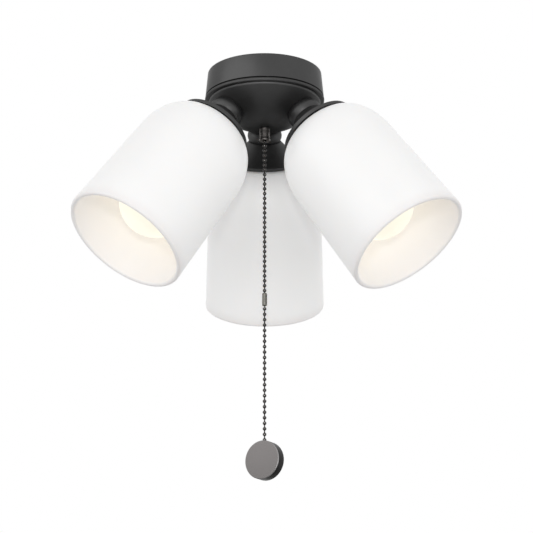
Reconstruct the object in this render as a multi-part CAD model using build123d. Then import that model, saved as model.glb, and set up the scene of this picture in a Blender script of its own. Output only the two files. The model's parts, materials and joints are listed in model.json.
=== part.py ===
from build123d import *

import os
from math import asin, atan, cos, radians, sin, sqrt

# Ceiling fan light kit: a round steel canopy carries three straight arms, each with a flared
# cup, a lamp socket, an opal glass shade and a lamp. A pull chain switch hangs its bead chain
# and a disc pull from the middle of the pan.
# Millimetres and degrees. The origin is the centre of the canopy's top rim, +Z is up and the
# middle of the two front arms faces -Y.

# Arms, with angles seen from above
BACK_ARM_ANGLE = 90
LEFT_ARM_ANGLE = 210
RIGHT_ARM_ANGLE = 334
ARM_TILT = 36  # from straight down, outwards

# Clearances and cuts
RUNNING_FIT = 0.05  # radial, between turned pieces that seat in each other
FREE_GAP = 0.3  # between pieces that move past each other
OVERRUN = 2.0  # how far a cutter passes the face it cuts

# Canopy drum
DRUM_RADIUS = 50.8  # at its bottom edge
DRUM_TAPER = 2.0  # how much narrower it is at the top
DRUM_HEIGHT = 21.5
DRUM_WALL = 1.2
DRUM_WEB_DEPTH = 5.0  # top rim down to the recessed web
DRUM_EDGE_ROUND = 0.5
WEB_VENT_RADIUS = 3.0
WEB_VENT_CIRCLE_RADIUS = 34.0
WEB_VENTS = 6

# Fitter pan: spigot, bead, shoulder and a round bowl with a small flat at its lowest point
PAN_WALL = 1.5
SPIGOT_GAP = 0.3
SPIGOT_HEIGHT = 7.5
LAND_CONTACT = 0.4  # width of the drum's bottom edge that stands on the pan
GROOVE_DEPTH = 0.8  # shadow line between drum and bead
BEAD_PROUD = 0.4  # how far the bead stands out past the drum
BEAD_HEIGHT = 3.1
SHOULDER_INSET = 2.8  # drum's bottom edge in to the shoulder
SHOULDER_DROP = 0.8  # plain wall under the bead
BOWL_DEPTH = 24.0  # shoulder down to the lowest point of the bowl's sphere
FLAT_RADIUS = 7.73  # small flat that the switch is fixed on

# Pipe thread fittings, size 1/8 IP
NIPPLE_RADIUS = 5.14
NIPPLE_BORE_RADIUS = 3.5
NIPPLE_HOLE_GAP = 0.16
NIPPLE_CHAMFER = 0.5
LOCKNUT_FLATS = 14.3
LOCKNUT_THICKNESS = 3.2
LOCKNUT_CHAMFER = 0.5
RELIEF_WIDTH = 0.6  # thread relief over the centre nipple's top nut
RELIEF_DEPTH = 0.5
WASHER_RADIUS = 9.0
WASHER_THICKNESS = 1.0
WASHER_TEETH = 12
WASHER_TOOTH_DEPTH = 1.6
WASHER_TOOTH_WIDTH = 1.5
NIPPLE_STAND = 14.0  # free thread above the top rim
NIPPLE_TAIL = 1.5  # thread that shows past a nut

# Mounting strap inside the pan
STRAP_WIDTH = 22.0
STRAP_THICKNESS = 2.0
STRAP_TAB_HEIGHT = 6.0
GROUND_SCREW_INSET = 17.1  # pan's inside to the screw
GROUND_SCREW_RADIUS = 2.0
GROUND_SCREW_LENGTH = 7.0
GROUND_HEAD_RADIUS = 3.6
GROUND_HEAD_HEIGHT = 2.4
GROUND_SLOT_WIDTH = 0.9
GROUND_SLOT_DEPTH = 1.1

# Arm seats, collar and cup, measured along the arm from the centre of the bowl's sphere
SEAT_PROUD = 0.4
SEAT_RIM = 0.3  # seat's edge outside the collar
INNER_SEAT_RIM = 0.75  # inner seat's edge outside the nut's corners
COLLAR_LENGTH = 8.6
COLLAR_END_RADIUS = 13.2
COLLAR_BULGE = 1.7
NECK_RADIUS = 14.0
CUP_OVERLAP = 5.5  # cup's rim outside the glass's flat top
CUP_WALL = 1.2
CUP_FLARE_LENGTH = 15.7
CUP_FLARE_SAG = 1.0
CUP_RIM_HEIGHT = 3.0
CUP_FLANGE_DEPTH = 1.2  # rim edge down to the inner flange

# Glass shade
GLASS_SEAT_GAP = 0.8  # cup rim to the plane of the glass top
GLASS_WALL = 4.0
GLASS_HOLE_GAP = 1.3  # socket to the edge of the glass's hole
GLASS_FLAT_WIDTH = 6.7  # flat top, from the hole to the dome
GLASS_SHOULDER_RADIUS = 49.8
GLASS_DOME_HEIGHT = 40.3
GLASS_MOUTH_RADIUS = 52.8
GLASS_SIDE_LENGTH = 94.0
GASKET_INSET = 0.3
RING_INSET = 1.3  # edge of the flat top in to the ring
RING_HEIGHT = 7.0
RING_NOTCHES = 10
RING_NOTCH_RADIUS = 2.2

# Lamp socket, medium screw base
SOCKET_RADIUS = 19.3
SOCKET_THREAD_SPARE = 5.0  # thread that shows past the ring
SOCKET_NOSE_STEP = 0.9
SOCKET_CAP_RADIUS = 9.0
SOCKET_CAP_HEIGHT = 5.0
SOCKET_CAP_GAP = 0.8  # nut in the cup to the cap
SOCKET_MOUTH_GAP = 0.5  # socket's mouth to the end of the lamp's base
SOCKET_ROUND = 1.0
SHELL_WALL = 0.4
SHELL_FLOOR_HOLE = 7.0
CONTACT_RADIUS = 4.5
CONTACT_THICKNESS = 0.8
CONTACT_STEM_RADIUS = 1.5

# Lamp, pear shape 60 mm wide and 110 mm long
LAMP_RADIUS = 30.0
LAMP_LENGTH = 110.0
LAMP_SEAT_DEPTH = 7.0  # glass top down to the lamp's tip contact
LAMP_BASE_RADIUS = 13.1
LAMP_BASE_LENGTH = 25.0
LAMP_NECK_STEP = 0.3  # glass neck outside the base
LAMP_GLASS = 1.0
LAMP_CONTACT_RADIUS = 4.8
LAMP_INSULATOR_RADIUS = 9.5
LAMP_INSULATOR_HEIGHT = 3.4
LAMP_TIP_HEIGHT = 0.8

# Pull switch
CHAIN_GUIDE_GAP = 0.7  # bead to the bushing's bore
BUSHING_WALL = 1.25
BUSHING_STAND = 7.4  # pan's flat down to the bushing's end
SLEEVE_WALL = 0.95
SLEEVE_LENGTH = 4.9
SLEEVE_CHAMFER = 0.4
BELL_HEIGHT = 6.6
BELL_NECK_WALL = 0.55
BELL_NECK_LENGTH = 3.6
BELL_FLARE_HEIGHT = 1.4
BELL_PROUD = 0.3  # bell outside the sleeve
BELL_ROUND = 0.8
BELL_LAND = 0.2  # flat of the bell's lip
BELL_LIP_HEIGHT = 2.2
CASE_WALL = 1.8
CASE_FLOOR = 2.5
CASE_ROUND = 2.0
CASE_FOOT_INSET = 0.73  # edge of the pan's flat in to the case's foot
CASE_FOOT_HEIGHT = 3.2
CASE_SIDE = 1.9  # bushing's hole to the case's near end
COVER_THICKNESS = 1.6
LEAD_HOLE_RADIUS = 1.4
LEAD_HOLE_PITCH = 5.0
ROTOR_GROOVE_RADIUS = 4.0
ROTOR_FLANGE_RISE = 1.8
ROTOR_GROOVE_GAP = 0.6  # bead to the side of the groove
ROTOR_FLANGE_WIDTH = 1.4
ROTOR_HUB_WALL = 1.05
ROTOR_HUB_WIDTH = 2.2
ROTOR_ROOM = 0.7  # rotor's flange to the case's floor and cover
ROTOR_TEETH = 8
ROTOR_TOOTH_DEPTH = 0.9
ROTOR_PIN_RADIUS = 1.2
SPRING_WIRE_RADIUS = 0.3
SPRING_TURN_COUNT = 2.5
SPRING_PITCH = 0.75
SPRING_SIDE_GAP = 0.325
BLADE_WIDTH = 3.0
BLADE_THICKNESS = 0.6
BLADE_LENGTH = 6.0
BLADE_SIDE_GAP = 0.7  # blade's edge to the case's side
BLADE_ROTOR_GAP = 1.1

# Bead chain
CHAIN_BEAD_RADIUS = 1.6
CHAIN_WIRE_RADIUS = 0.55
CHAIN_HOLE_GAP = 0.2  # wire to the edge of a bead's end hole
UPPER_PITCH = 4.27
UPPER_BEAD_COUNT = 31  # free beads between the bell mouth and the coupling
LOWER_PITCH = 4.63
LOWER_BEAD_COUNT = 24  # free beads between the coupling and the disc
COUPLING_LENGTH = 11.3
COUPLING_WALL = 0.4
COUPLING_LAND = 0.05  # flat of the coupling's ends
COUPLING_SLOT = 1.3
COUPLING_NECK_GAP = 0.5  # last upper bead to the coupling's top
COUPLING_BEAD_GAP = 0.15

# Disc pull
DISC_RADIUS = 16.0
DISC_THICKNESS = 9.0
DISC_CHAMFER = 0.5
DISC_YAW = -31  # face turned from the front towards the left
DISC_BEAD_STAND = 1.1  # last free bead's centre over the disc's top
FERRULE_THICKNESS = 0.9


def outline(*corners):
    """Face from (x, y) or (x, y, radius) corners in order, rounded where a radius is given."""
    face = make_face(Polyline(*[corner[:2] for corner in corners], close=True))
    for x, y, *radius in corners:
        if radius:
            corner = face.vertices().sort_by_distance((x, y))[0]
            face = fillet(corner, radius[0])
    return face


def turned(profile):
    """Solid of revolution about Z from a profile whose x is radius and whose y is height."""
    return revolve(Plane.XZ * profile, Axis.Z)


def tube(outer, inner, low, high):
    """Plain round tube between two heights."""
    return turned(outline((inner, low), (outer, low), (outer, high), (inner, high)))


def rod(radius, low, high):
    """Plain round bar between two heights."""
    return Pos(0, 0, (low + high) / 2) * Cylinder(radius, high - low)


def locknut(low):
    """Hexagon nut with both rims turned off at the corners, from a height up."""
    block = Pos(0, 0, low) * extrude(RegularPolygon(LOCKNUT_CORNER, 6), LOCKNUT_THICKNESS)
    high = low + LOCKNUT_THICKNESS
    edge = LOCKNUT_CORNER - LOCKNUT_CHAMFER
    envelope = turned(outline(
        (0, low), (edge, low), (LOCKNUT_CORNER, low + LOCKNUT_CHAMFER),
        (LOCKNUT_CORNER, high - LOCKNUT_CHAMFER), (edge, high), (0, high)))
    return (block & envelope) - rod(NIPPLE_RADIUS + RUNNING_FIT, low - OVERRUN, high + OVERRUN)


def nipple(low, high):
    """Hollow running thread, drawn at its major diameter."""
    edge = NIPPLE_RADIUS - NIPPLE_CHAMFER
    return turned(outline(
        (NIPPLE_BORE_RADIUS, low), (edge, low), (NIPPLE_RADIUS, low + NIPPLE_CHAMFER),
        (NIPPLE_RADIUS, high - NIPPLE_CHAMFER), (edge, high), (NIPPLE_BORE_RADIUS, high)))


ARM_ANGLES = {"back": BACK_ARM_ANGLE, "left": LEFT_ARM_ANGLE, "right": RIGHT_ARM_ANGLE}

# Canopy, with heights in Z
DRUM_BOTTOM = -DRUM_HEIGHT
SPIGOT_TOP = DRUM_BOTTOM + SPIGOT_HEIGHT
DRUM_TOP_RADIUS = DRUM_RADIUS - DRUM_TAPER
DRUM_SLOPE = DRUM_TAPER / DRUM_HEIGHT
DRUM_INSIDE_TOP = DRUM_TOP_RADIUS - DRUM_WALL  # radius of the drum's inside at the rim
SPIGOT_RADIUS = DRUM_INSIDE_TOP - DRUM_SLOPE * SPIGOT_TOP - SPIGOT_GAP
LAND_RADIUS = DRUM_RADIUS - DRUM_WALL + LAND_CONTACT
PAN_INSIDE = SPIGOT_RADIUS - PAN_WALL
BEAD_TOP = DRUM_BOTTOM - GROOVE_DEPTH
BEAD_BOTTOM = BEAD_TOP - BEAD_HEIGHT
BEAD_RADIUS = DRUM_RADIUS + BEAD_PROUD
SHOULDER = BEAD_BOTTOM - SHOULDER_DROP
SHOULDER_RADIUS = DRUM_RADIUS - SHOULDER_INSET
BOWL_RADIUS = (SHOULDER_RADIUS**2 + BOWL_DEPTH**2) / (2 * BOWL_DEPTH)
INNER_BOWL_RADIUS = BOWL_RADIUS - PAN_WALL
SPHERE_CENTRE = SHOULDER - BOWL_DEPTH + BOWL_RADIUS
FLAT = SPHERE_CENTRE - sqrt(BOWL_RADIUS**2 - FLAT_RADIUS**2)
FLAT_TOP = FLAT + PAN_WALL
GROUND_SCREW_PLACE = PAN_INSIDE - GROUND_SCREW_INSET
STRAP_TOP = SPIGOT_TOP
STRAP_BOTTOM = STRAP_TOP - STRAP_THICKNESS
WEB_TOP = -DRUM_WEB_DEPTH
WEB_BOTTOM = WEB_TOP - DRUM_WALL
NIPPLE_HOLE = NIPPLE_RADIUS + NIPPLE_HOLE_GAP
LOCKNUT_CORNER = LOCKNUT_FLATS / 2 / cos(radians(30))
TOP_NUT = WEB_TOP + WASHER_THICKNESS

# Places along an arm, from the sphere's centre, and the radii that follow each other there
SEAT_RADIUS = COLLAR_END_RADIUS + SEAT_RIM
INNER_SEAT_RADIUS = LOCKNUT_CORNER + INNER_SEAT_RIM
ARM_SEAT = BOWL_RADIUS + SEAT_PROUD
ARM_INNER_SEAT = sqrt(INNER_BOWL_RADIUS**2 - INNER_SEAT_RADIUS**2)
CUP_TOP = ARM_SEAT + COLLAR_LENGTH
CUP_FLARE_END = CUP_TOP + CUP_FLARE_LENGTH
CUP_EDGE = CUP_FLARE_END + CUP_RIM_HEIGHT
CUP_FLANGE = CUP_EDGE - CUP_FLANGE_DEPTH
GLASS_TOP = CUP_EDGE + GLASS_SEAT_GAP
GLASS_SHOULDER = GLASS_TOP + GLASS_DOME_HEIGHT
GLASS_MOUTH = GLASS_SHOULDER + GLASS_SIDE_LENGTH
CUP_PLATE = CUP_TOP + CUP_WALL
GLASS_HOLE_RADIUS = SOCKET_RADIUS + GLASS_HOLE_GAP
GLASS_TOP_RADIUS = GLASS_HOLE_RADIUS + GLASS_FLAT_WIDTH
CUP_RADIUS = GLASS_TOP_RADIUS + CUP_OVERLAP
RING_LOW = GLASS_TOP + GLASS_WALL
RING_RADIUS = GLASS_TOP_RADIUS - RING_INSET
SOCKET_TOP = CUP_PLATE + LOCKNUT_THICKNESS + SOCKET_CAP_GAP
SOCKET_BODY_TOP = SOCKET_TOP + SOCKET_CAP_HEIGHT
SOCKET_NOSE_RADIUS = SOCKET_RADIUS - SOCKET_NOSE_STEP
LAMP_CONTACT = GLASS_TOP + LAMP_SEAT_DEPTH
LAMP_TIP = LAMP_CONTACT + LAMP_LENGTH
LAMP_BASE_END = LAMP_CONTACT + LAMP_BASE_LENGTH
LAMP_NECK_RADIUS = LAMP_BASE_RADIUS + LAMP_NECK_STEP
SOCKET_MOUTH = LAMP_BASE_END - SOCKET_MOUTH_GAP
SHELL_RADIUS = LAMP_BASE_RADIUS + FREE_GAP
SOCKET_BORE = SHELL_RADIUS + SHELL_WALL + RUNNING_FIT
CONTACT_FACE = LAMP_CONTACT - FREE_GAP
SOCKET_FLOOR = CONTACT_FACE - CONTACT_THICKNESS

# Switch and chain, with heights in Z
BUSHING_BORE_RADIUS = CHAIN_BEAD_RADIUS + CHAIN_GUIDE_GAP
BUSHING_RADIUS = BUSHING_BORE_RADIUS + BUSHING_WALL
BUSHING_HOLE = BUSHING_RADIUS + RUNNING_FIT
SLEEVE_RADIUS = BUSHING_HOLE + SLEEVE_WALL
BELL_RADIUS = SLEEVE_RADIUS + BELL_PROUD
BELL_LIP_RADIUS = BELL_RADIUS - BELL_ROUND - BELL_LAND
BUSHING_END = FLAT - BUSHING_STAND
BELL_TOP = FLAT - SLEEVE_LENGTH
BELL_LIP = BELL_TOP - BELL_HEIGHT
BELL_NECK_RADIUS = BUSHING_HOLE + BELL_NECK_WALL
BELL_NECK_END = BELL_TOP - BELL_NECK_LENGTH
ROTOR_FLANGE_RADIUS = ROTOR_GROOVE_RADIUS + ROTOR_FLANGE_RISE
ROTOR_HALF_GROOVE = CHAIN_BEAD_RADIUS + ROTOR_GROOVE_GAP
ROTOR_HALF = ROTOR_HALF_GROOVE + ROTOR_FLANGE_WIDTH
ROTOR_BORE = ROTOR_PIN_RADIUS + RUNNING_FIT
ROTOR_HUB_RADIUS = ROTOR_BORE + ROTOR_HUB_WALL
ROTOR_AXIS_X = ROTOR_GROOVE_RADIUS + CHAIN_BEAD_RADIUS + FREE_GAP
SPRING_START = ROTOR_HALF + FREE_GAP + SPRING_WIRE_RADIUS
SPRING_END = SPRING_START + SPRING_PITCH * SPRING_TURN_COUNT + SPRING_WIRE_RADIUS
CASE_INSIDE_HALF = SPRING_END + SPRING_SIDE_GAP
CASE_WIDTH = 2 * (CASE_INSIDE_HALF + CASE_WALL)
CASE_NEAR_END = -(BUSHING_HOLE + CASE_SIDE)
BLADE_X = ROTOR_AXIS_X + ROTOR_FLANGE_RADIUS + BLADE_ROTOR_GAP + BLADE_THICKNESS / 2
CASE_FAR_END = BLADE_X + BLADE_THICKNESS / 2 + FREE_GAP + CASE_WALL
CASE_LENGTH = CASE_FAR_END - CASE_NEAR_END
CASE_CENTRE_X = (CASE_FAR_END + CASE_NEAR_END) / 2
CASE_BOTTOM = FLAT_TOP + CASE_FOOT_HEIGHT
CASE_INSIDE_FLOOR = CASE_BOTTOM + CASE_FLOOR
ROTOR_AXIS_Z = CASE_INSIDE_FLOOR + ROTOR_ROOM + ROTOR_FLANGE_RADIUS
CASE_TOP = ROTOR_AXIS_Z + ROTOR_FLANGE_RADIUS + ROTOR_ROOM
CASE_HEIGHT = CASE_TOP - CASE_BOTTOM
TOP_PIVOT = BELL_LIP
INNER_ROOM = CASE_TOP - FREE_GAP - CHAIN_BEAD_RADIUS - TOP_PIVOT
INNER_BEAD_COUNT = int(INNER_ROOM / UPPER_PITCH)
CHAIN_WAIST_RADIUS = CHAIN_WIRE_RADIUS + CHAIN_HOLE_GAP
COUPLING_RADIUS = CHAIN_BEAD_RADIUS + COUPLING_BEAD_GAP + COUPLING_WALL
COUPLING_MOUTH = CHAIN_WAIST_RADIUS + FREE_GAP / 2
COUPLING_ROUND = COUPLING_RADIUS - COUPLING_MOUTH - COUPLING_LAND
UPPER_FIRST = TOP_PIVOT - UPPER_PITCH
UPPER_LAST = TOP_PIVOT - UPPER_BEAD_COUNT * UPPER_PITCH
COUPLING_TOP = UPPER_LAST - CHAIN_BEAD_RADIUS - COUPLING_NECK_GAP
COUPLING_BOTTOM = COUPLING_TOP - COUPLING_LENGTH
CAPTIVE_DROP = COUPLING_WALL + COUPLING_BEAD_GAP + CHAIN_BEAD_RADIUS
LOWER_CAPTIVE = COUPLING_BOTTOM + CAPTIVE_DROP
LOWER_PIVOT = LOWER_CAPTIVE - LOWER_PITCH
LOWER_LAST = LOWER_PIVOT - LOWER_BEAD_COUNT * LOWER_PITCH
DISC_TOP = LOWER_LAST - DISC_BEAD_STAND
DISC_CENTRE = DISC_TOP - DISC_RADIUS
DISC_CAPTIVE = LOWER_LAST - LOWER_PITCH


def canopy_drum():
    """Spun cup, open below, with a recessed web that the nipple and the vents pass through."""
    web_outer_top = DRUM_INSIDE_TOP - DRUM_SLOPE * WEB_TOP
    web_outer_bottom = DRUM_INSIDE_TOP - DRUM_SLOPE * WEB_BOTTOM
    body = turned(outline(
        (DRUM_INSIDE_TOP, 0), (DRUM_TOP_RADIUS, 0, DRUM_EDGE_ROUND),
        (DRUM_RADIUS, DRUM_BOTTOM), (DRUM_RADIUS - DRUM_WALL, DRUM_BOTTOM),
        (web_outer_bottom, WEB_BOTTOM), (NIPPLE_HOLE, WEB_BOTTOM),
        (NIPPLE_HOLE, WEB_TOP), (web_outer_top, WEB_TOP)))
    vent = rod(WEB_VENT_RADIUS, WEB_BOTTOM - OVERRUN, WEB_TOP + OVERRUN)
    return body - [place * vent for place in PolarLocations(WEB_VENT_CIRCLE_RADIUS, WEB_VENTS)]


def arm_frame(angle):
    """Frame of one arm: origin at the bowl's sphere centre, Z outwards along the arm."""
    away = Vector(cos(radians(angle)), sin(radians(angle)), 0)
    along = away * sin(radians(ARM_TILT)) - Vector(0, 0, 1) * cos(radians(ARM_TILT))
    return Plane((0, 0, SPHERE_CENTRE), x_dir=Vector(0, 0, 1).cross(away), z_dir=along)


def pan_section():
    """Half section of the pan: spigot, land, groove, bead, shoulder, bowl and small flat."""
    inner_shoulder_z = SPHERE_CENTRE - sqrt(INNER_BOWL_RADIUS**2 - PAN_INSIDE**2)
    inner_flat_radius = sqrt(INNER_BOWL_RADIUS**2 - (SPHERE_CENTRE - FLAT_TOP)**2)

    def half_way(sphere, outer, inner):
        """Middle of a bowl arc between two radii from the Z axis."""
        middle = (asin(outer / sphere) + asin(inner / sphere)) / 2
        return (sphere * sin(middle), SPHERE_CENTRE - sphere * cos(middle))

    edges = [
        Polyline((PAN_INSIDE, SPIGOT_TOP), (SPIGOT_RADIUS, SPIGOT_TOP),
                 (SPIGOT_RADIUS, DRUM_BOTTOM), (LAND_RADIUS, DRUM_BOTTOM),
                 (LAND_RADIUS, BEAD_TOP)),
        ThreePointArc((LAND_RADIUS, BEAD_TOP), (BEAD_RADIUS, (BEAD_TOP + BEAD_BOTTOM) / 2),
                      (LAND_RADIUS, BEAD_BOTTOM)),
        Polyline((LAND_RADIUS, BEAD_BOTTOM), (SHOULDER_RADIUS, BEAD_BOTTOM),
                 (SHOULDER_RADIUS, SHOULDER)),
        ThreePointArc((SHOULDER_RADIUS, SHOULDER),
                      half_way(BOWL_RADIUS, SHOULDER_RADIUS, FLAT_RADIUS),
                      (FLAT_RADIUS, FLAT)),
        Polyline((FLAT_RADIUS, FLAT), (0, FLAT), (0, FLAT_TOP),
                 (inner_flat_radius, FLAT_TOP)),
        ThreePointArc((inner_flat_radius, FLAT_TOP),
                      half_way(INNER_BOWL_RADIUS, PAN_INSIDE, inner_flat_radius),
                      (PAN_INSIDE, inner_shoulder_z)),
        Line((PAN_INSIDE, inner_shoulder_z), (PAN_INSIDE, SPIGOT_TOP)),
    ]
    return make_face(edges)


def fitter_pan():
    """Pressed pan with three raised arm seats and a middle hole for the switch bushing."""
    pan = turned(pan_section())
    seat = (rod(SEAT_RADIUS, BOWL_RADIUS - PAN_WALL / 2, ARM_SEAT)
            + rod(INNER_SEAT_RADIUS, ARM_INNER_SEAT, BOWL_RADIUS))
    hole = rod(NIPPLE_HOLE, ARM_INNER_SEAT - OVERRUN, ARM_SEAT + OVERRUN)
    for angle in ARM_ANGLES.values():
        frame = arm_frame(angle)
        pan = pan + frame * seat - frame * hole
    return pan - rod(BUSHING_HOLE, FLAT - OVERRUN, FLAT_TOP + OVERRUN)


def mounting_nipple():
    """Centre nipple, with the thread cut away over its top nut to keep that nut from turning."""
    low = TOP_NUT + LOCKNUT_THICKNESS
    relief = tube(NIPPLE_RADIUS + OVERRUN, NIPPLE_RADIUS - RELIEF_DEPTH, low, low + RELIEF_WIDTH)
    return nipple(STRAP_BOTTOM - LOCKNUT_THICKNESS - NIPPLE_TAIL, NIPPLE_STAND) - relief


def mounting_strap():
    """Flat bar across the pan with two end tabs welded to the spigot's inside."""
    reach = PAN_INSIDE - RUNNING_FIT
    web = rod(reach, STRAP_BOTTOM, STRAP_TOP)
    tabs = tube(reach, reach - STRAP_THICKNESS, STRAP_BOTTOM - STRAP_TAB_HEIGHT, STRAP_BOTTOM)
    width = Box(2 * BEAD_RADIUS, STRAP_WIDTH, 2 * DRUM_HEIGHT)
    middle = (STRAP_TOP + STRAP_BOTTOM - STRAP_TAB_HEIGHT) / 2
    bar = (web + tabs) & Pos(0, 0, middle) * width
    centre_hole = rod(NIPPLE_RADIUS + RUNNING_FIT, STRAP_BOTTOM - OVERRUN, STRAP_TOP + OVERRUN)
    screw_hole = rod(GROUND_SCREW_RADIUS + RUNNING_FIT,
                     STRAP_BOTTOM - OVERRUN, STRAP_TOP + OVERRUN)
    return bar - centre_hole - Pos(GROUND_SCREW_PLACE, 0, 0) * screw_hole


def ground_screw():
    """Slotted pan head screw in the strap, for the earth lead."""
    head_top = STRAP_TOP + GROUND_HEAD_HEIGHT
    shank_end = STRAP_TOP - GROUND_SCREW_LENGTH
    screw = turned(outline(
        (0, shank_end), (GROUND_SCREW_RADIUS, shank_end), (GROUND_SCREW_RADIUS, STRAP_TOP),
        (GROUND_HEAD_RADIUS, STRAP_TOP), (GROUND_HEAD_RADIUS, head_top, GROUND_HEAD_HEIGHT / 2),
        (0, head_top)))
    slot = Pos(0, 0, head_top) * Box(2 * GROUND_HEAD_RADIUS + OVERRUN, GROUND_SLOT_WIDTH,
                                     2 * GROUND_SLOT_DEPTH)
    return Pos(GROUND_SCREW_PLACE, 0, 0) * (screw - slot)


def nipple_locknuts():
    """Two nuts on the centre nipple: one under the strap and one on the washer."""
    return [locknut(STRAP_BOTTOM - LOCKNUT_THICKNESS), locknut(TOP_NUT)]


def star_washer():
    """Toothed washer under the top nut."""
    washer = tube(WASHER_RADIUS, NIPPLE_HOLE, WEB_TOP, WEB_TOP + WASHER_THICKNESS)
    gap = Pos(WASHER_RADIUS, 0, WEB_TOP) * Box(2 * WASHER_TOOTH_DEPTH, WASHER_TOOTH_WIDTH,
                                               2 * WASHER_THICKNESS + OVERRUN)
    turns = [Rot(0, 0, 360 / WASHER_TEETH * tooth) for tooth in range(WASHER_TEETH)]
    return washer - [turn * gap for turn in turns]


def arm_nipple():
    """Hollow thread from inside the pan through collar and cup into the socket's cap."""
    start = ARM_INNER_SEAT - LOCKNUT_THICKNESS - NIPPLE_TAIL
    return nipple(start, SOCKET_BODY_TOP)


def arm_locknuts():
    """The two nuts of one arm: inside the pan and inside the cup."""
    return [locknut(ARM_INNER_SEAT - LOCKNUT_THICKNESS), locknut(CUP_PLATE)]


def arm_collar():
    """Turned collar with a half round bead between pan and cup."""
    middle = (ARM_SEAT + CUP_TOP) / 2
    bead = make_face([
        Line((NIPPLE_HOLE, ARM_SEAT), (COLLAR_END_RADIUS, ARM_SEAT)),
        ThreePointArc((COLLAR_END_RADIUS, ARM_SEAT), (COLLAR_END_RADIUS + COLLAR_BULGE, middle),
                      (COLLAR_END_RADIUS, CUP_TOP)),
        Polyline((COLLAR_END_RADIUS, CUP_TOP), (NIPPLE_HOLE, CUP_TOP),
                 (NIPPLE_HOLE, ARM_SEAT)),
    ])
    return turned(bead)


def socket_cup():
    """Spun trumpet cup with a short straight rim and a flange turned in over the gasket."""
    inside = CUP_RADIUS - CUP_WALL
    flange_hole = GLASS_HOLE_RADIUS
    flange_top = CUP_FLANGE - CUP_WALL
    neck_inside = NECK_RADIUS - CUP_WALL
    shell = make_face([
        Line((NIPPLE_HOLE, CUP_TOP), (NECK_RADIUS, CUP_TOP)),
        SagittaArc((NECK_RADIUS, CUP_TOP), (CUP_RADIUS, CUP_FLARE_END), CUP_FLARE_SAG),
        Polyline((CUP_RADIUS, CUP_FLARE_END), (CUP_RADIUS, CUP_EDGE), (inside, CUP_EDGE),
                 (inside, CUP_FLANGE), (flange_hole, CUP_FLANGE), (flange_hole, flange_top),
                 (inside - CUP_WALL, flange_top)),
        SagittaArc((inside - CUP_WALL, flange_top), (neck_inside, CUP_PLATE), -CUP_FLARE_SAG),
        Polyline((neck_inside, CUP_PLATE), (NIPPLE_HOLE, CUP_PLATE), (NIPPLE_HOLE, CUP_TOP)),
    ])
    return turned(shell)


def shade_gasket():
    """Flat soft ring between the cup's flange and the glass."""
    return tube(GLASS_TOP_RADIUS - GASKET_INSET, GLASS_HOLE_RADIUS, CUP_FLANGE, GLASS_TOP)


def glass_shade():
    """Blown glass dome on a slightly tapered side, open at the mouth, with a round lip."""
    inner_shoulder = GLASS_SHOULDER_RADIUS - GLASS_WALL
    inner_mouth = GLASS_MOUTH_RADIUS - GLASS_WALL
    lip = GLASS_MOUTH - GLASS_WALL / 2
    dome_width = GLASS_SHOULDER_RADIUS - GLASS_TOP_RADIUS
    section = make_face([
        Line((GLASS_HOLE_RADIUS, GLASS_TOP), (GLASS_TOP_RADIUS, GLASS_TOP)),
        EllipticalCenterArc((GLASS_TOP_RADIUS, GLASS_SHOULDER), dome_width, GLASS_DOME_HEIGHT,
                            start_angle=270, arc_size=90),
        Line((GLASS_SHOULDER_RADIUS, GLASS_SHOULDER), (GLASS_MOUTH_RADIUS, lip)),
        ThreePointArc((GLASS_MOUTH_RADIUS, lip), (GLASS_MOUTH_RADIUS - GLASS_WALL / 2,
                                                  GLASS_MOUTH), (inner_mouth, lip)),
        Line((inner_mouth, lip), (inner_shoulder, GLASS_SHOULDER)),
        EllipticalCenterArc((GLASS_TOP_RADIUS, GLASS_SHOULDER), dome_width - GLASS_WALL,
                            GLASS_DOME_HEIGHT - GLASS_WALL, start_angle=270, arc_size=90),
        Polyline((GLASS_TOP_RADIUS, RING_LOW), (GLASS_HOLE_RADIUS, RING_LOW),
                 (GLASS_HOLE_RADIUS, GLASS_TOP)),
    ])
    return turned(section)


def shade_ring():
    """Threaded ring inside the glass that clamps it up against the gasket, with grip notches."""
    ring_end = RING_LOW + RING_HEIGHT
    ring = tube(RING_RADIUS, SOCKET_RADIUS + RUNNING_FIT, RING_LOW, ring_end)
    notch = rod(RING_NOTCH_RADIUS, RING_LOW - OVERRUN, ring_end + OVERRUN)
    return ring - [place * notch for place in PolarLocations(RING_RADIUS, RING_NOTCHES)]


def socket_body():
    """Moulded lamp holder: cap on the nipple, thread for the ring and a nose round the shell."""
    thread_end = RING_LOW + RING_HEIGHT + SOCKET_THREAD_SPARE
    stem = CONTACT_STEM_RADIUS + RUNNING_FIT
    return turned(outline(
        (NIPPLE_RADIUS + RUNNING_FIT, SOCKET_TOP), (SOCKET_CAP_RADIUS, SOCKET_TOP, SOCKET_ROUND),
        (SOCKET_CAP_RADIUS, SOCKET_BODY_TOP), (SOCKET_RADIUS, SOCKET_BODY_TOP, SOCKET_ROUND),
        (SOCKET_RADIUS, thread_end), (SOCKET_NOSE_RADIUS, thread_end),
        (SOCKET_NOSE_RADIUS, SOCKET_MOUTH, SOCKET_ROUND), (SOCKET_BORE, SOCKET_MOUTH),
        (SOCKET_BORE, SOCKET_FLOOR), (stem, SOCKET_FLOOR), (stem, SOCKET_BODY_TOP),
        (NIPPLE_RADIUS + RUNNING_FIT, SOCKET_BODY_TOP)))


def socket_shell():
    """Metal screw shell lining the socket's bore, drawn as a plain cup."""
    outside = SHELL_RADIUS + SHELL_WALL
    floor = SOCKET_FLOOR + SHELL_WALL
    return turned(outline(
        (SHELL_FLOOR_HOLE, SOCKET_FLOOR), (outside, SOCKET_FLOOR), (outside, SOCKET_MOUTH),
        (SHELL_RADIUS, SOCKET_MOUTH), (SHELL_RADIUS, floor), (SHELL_FLOOR_HOLE, floor)))


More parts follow.
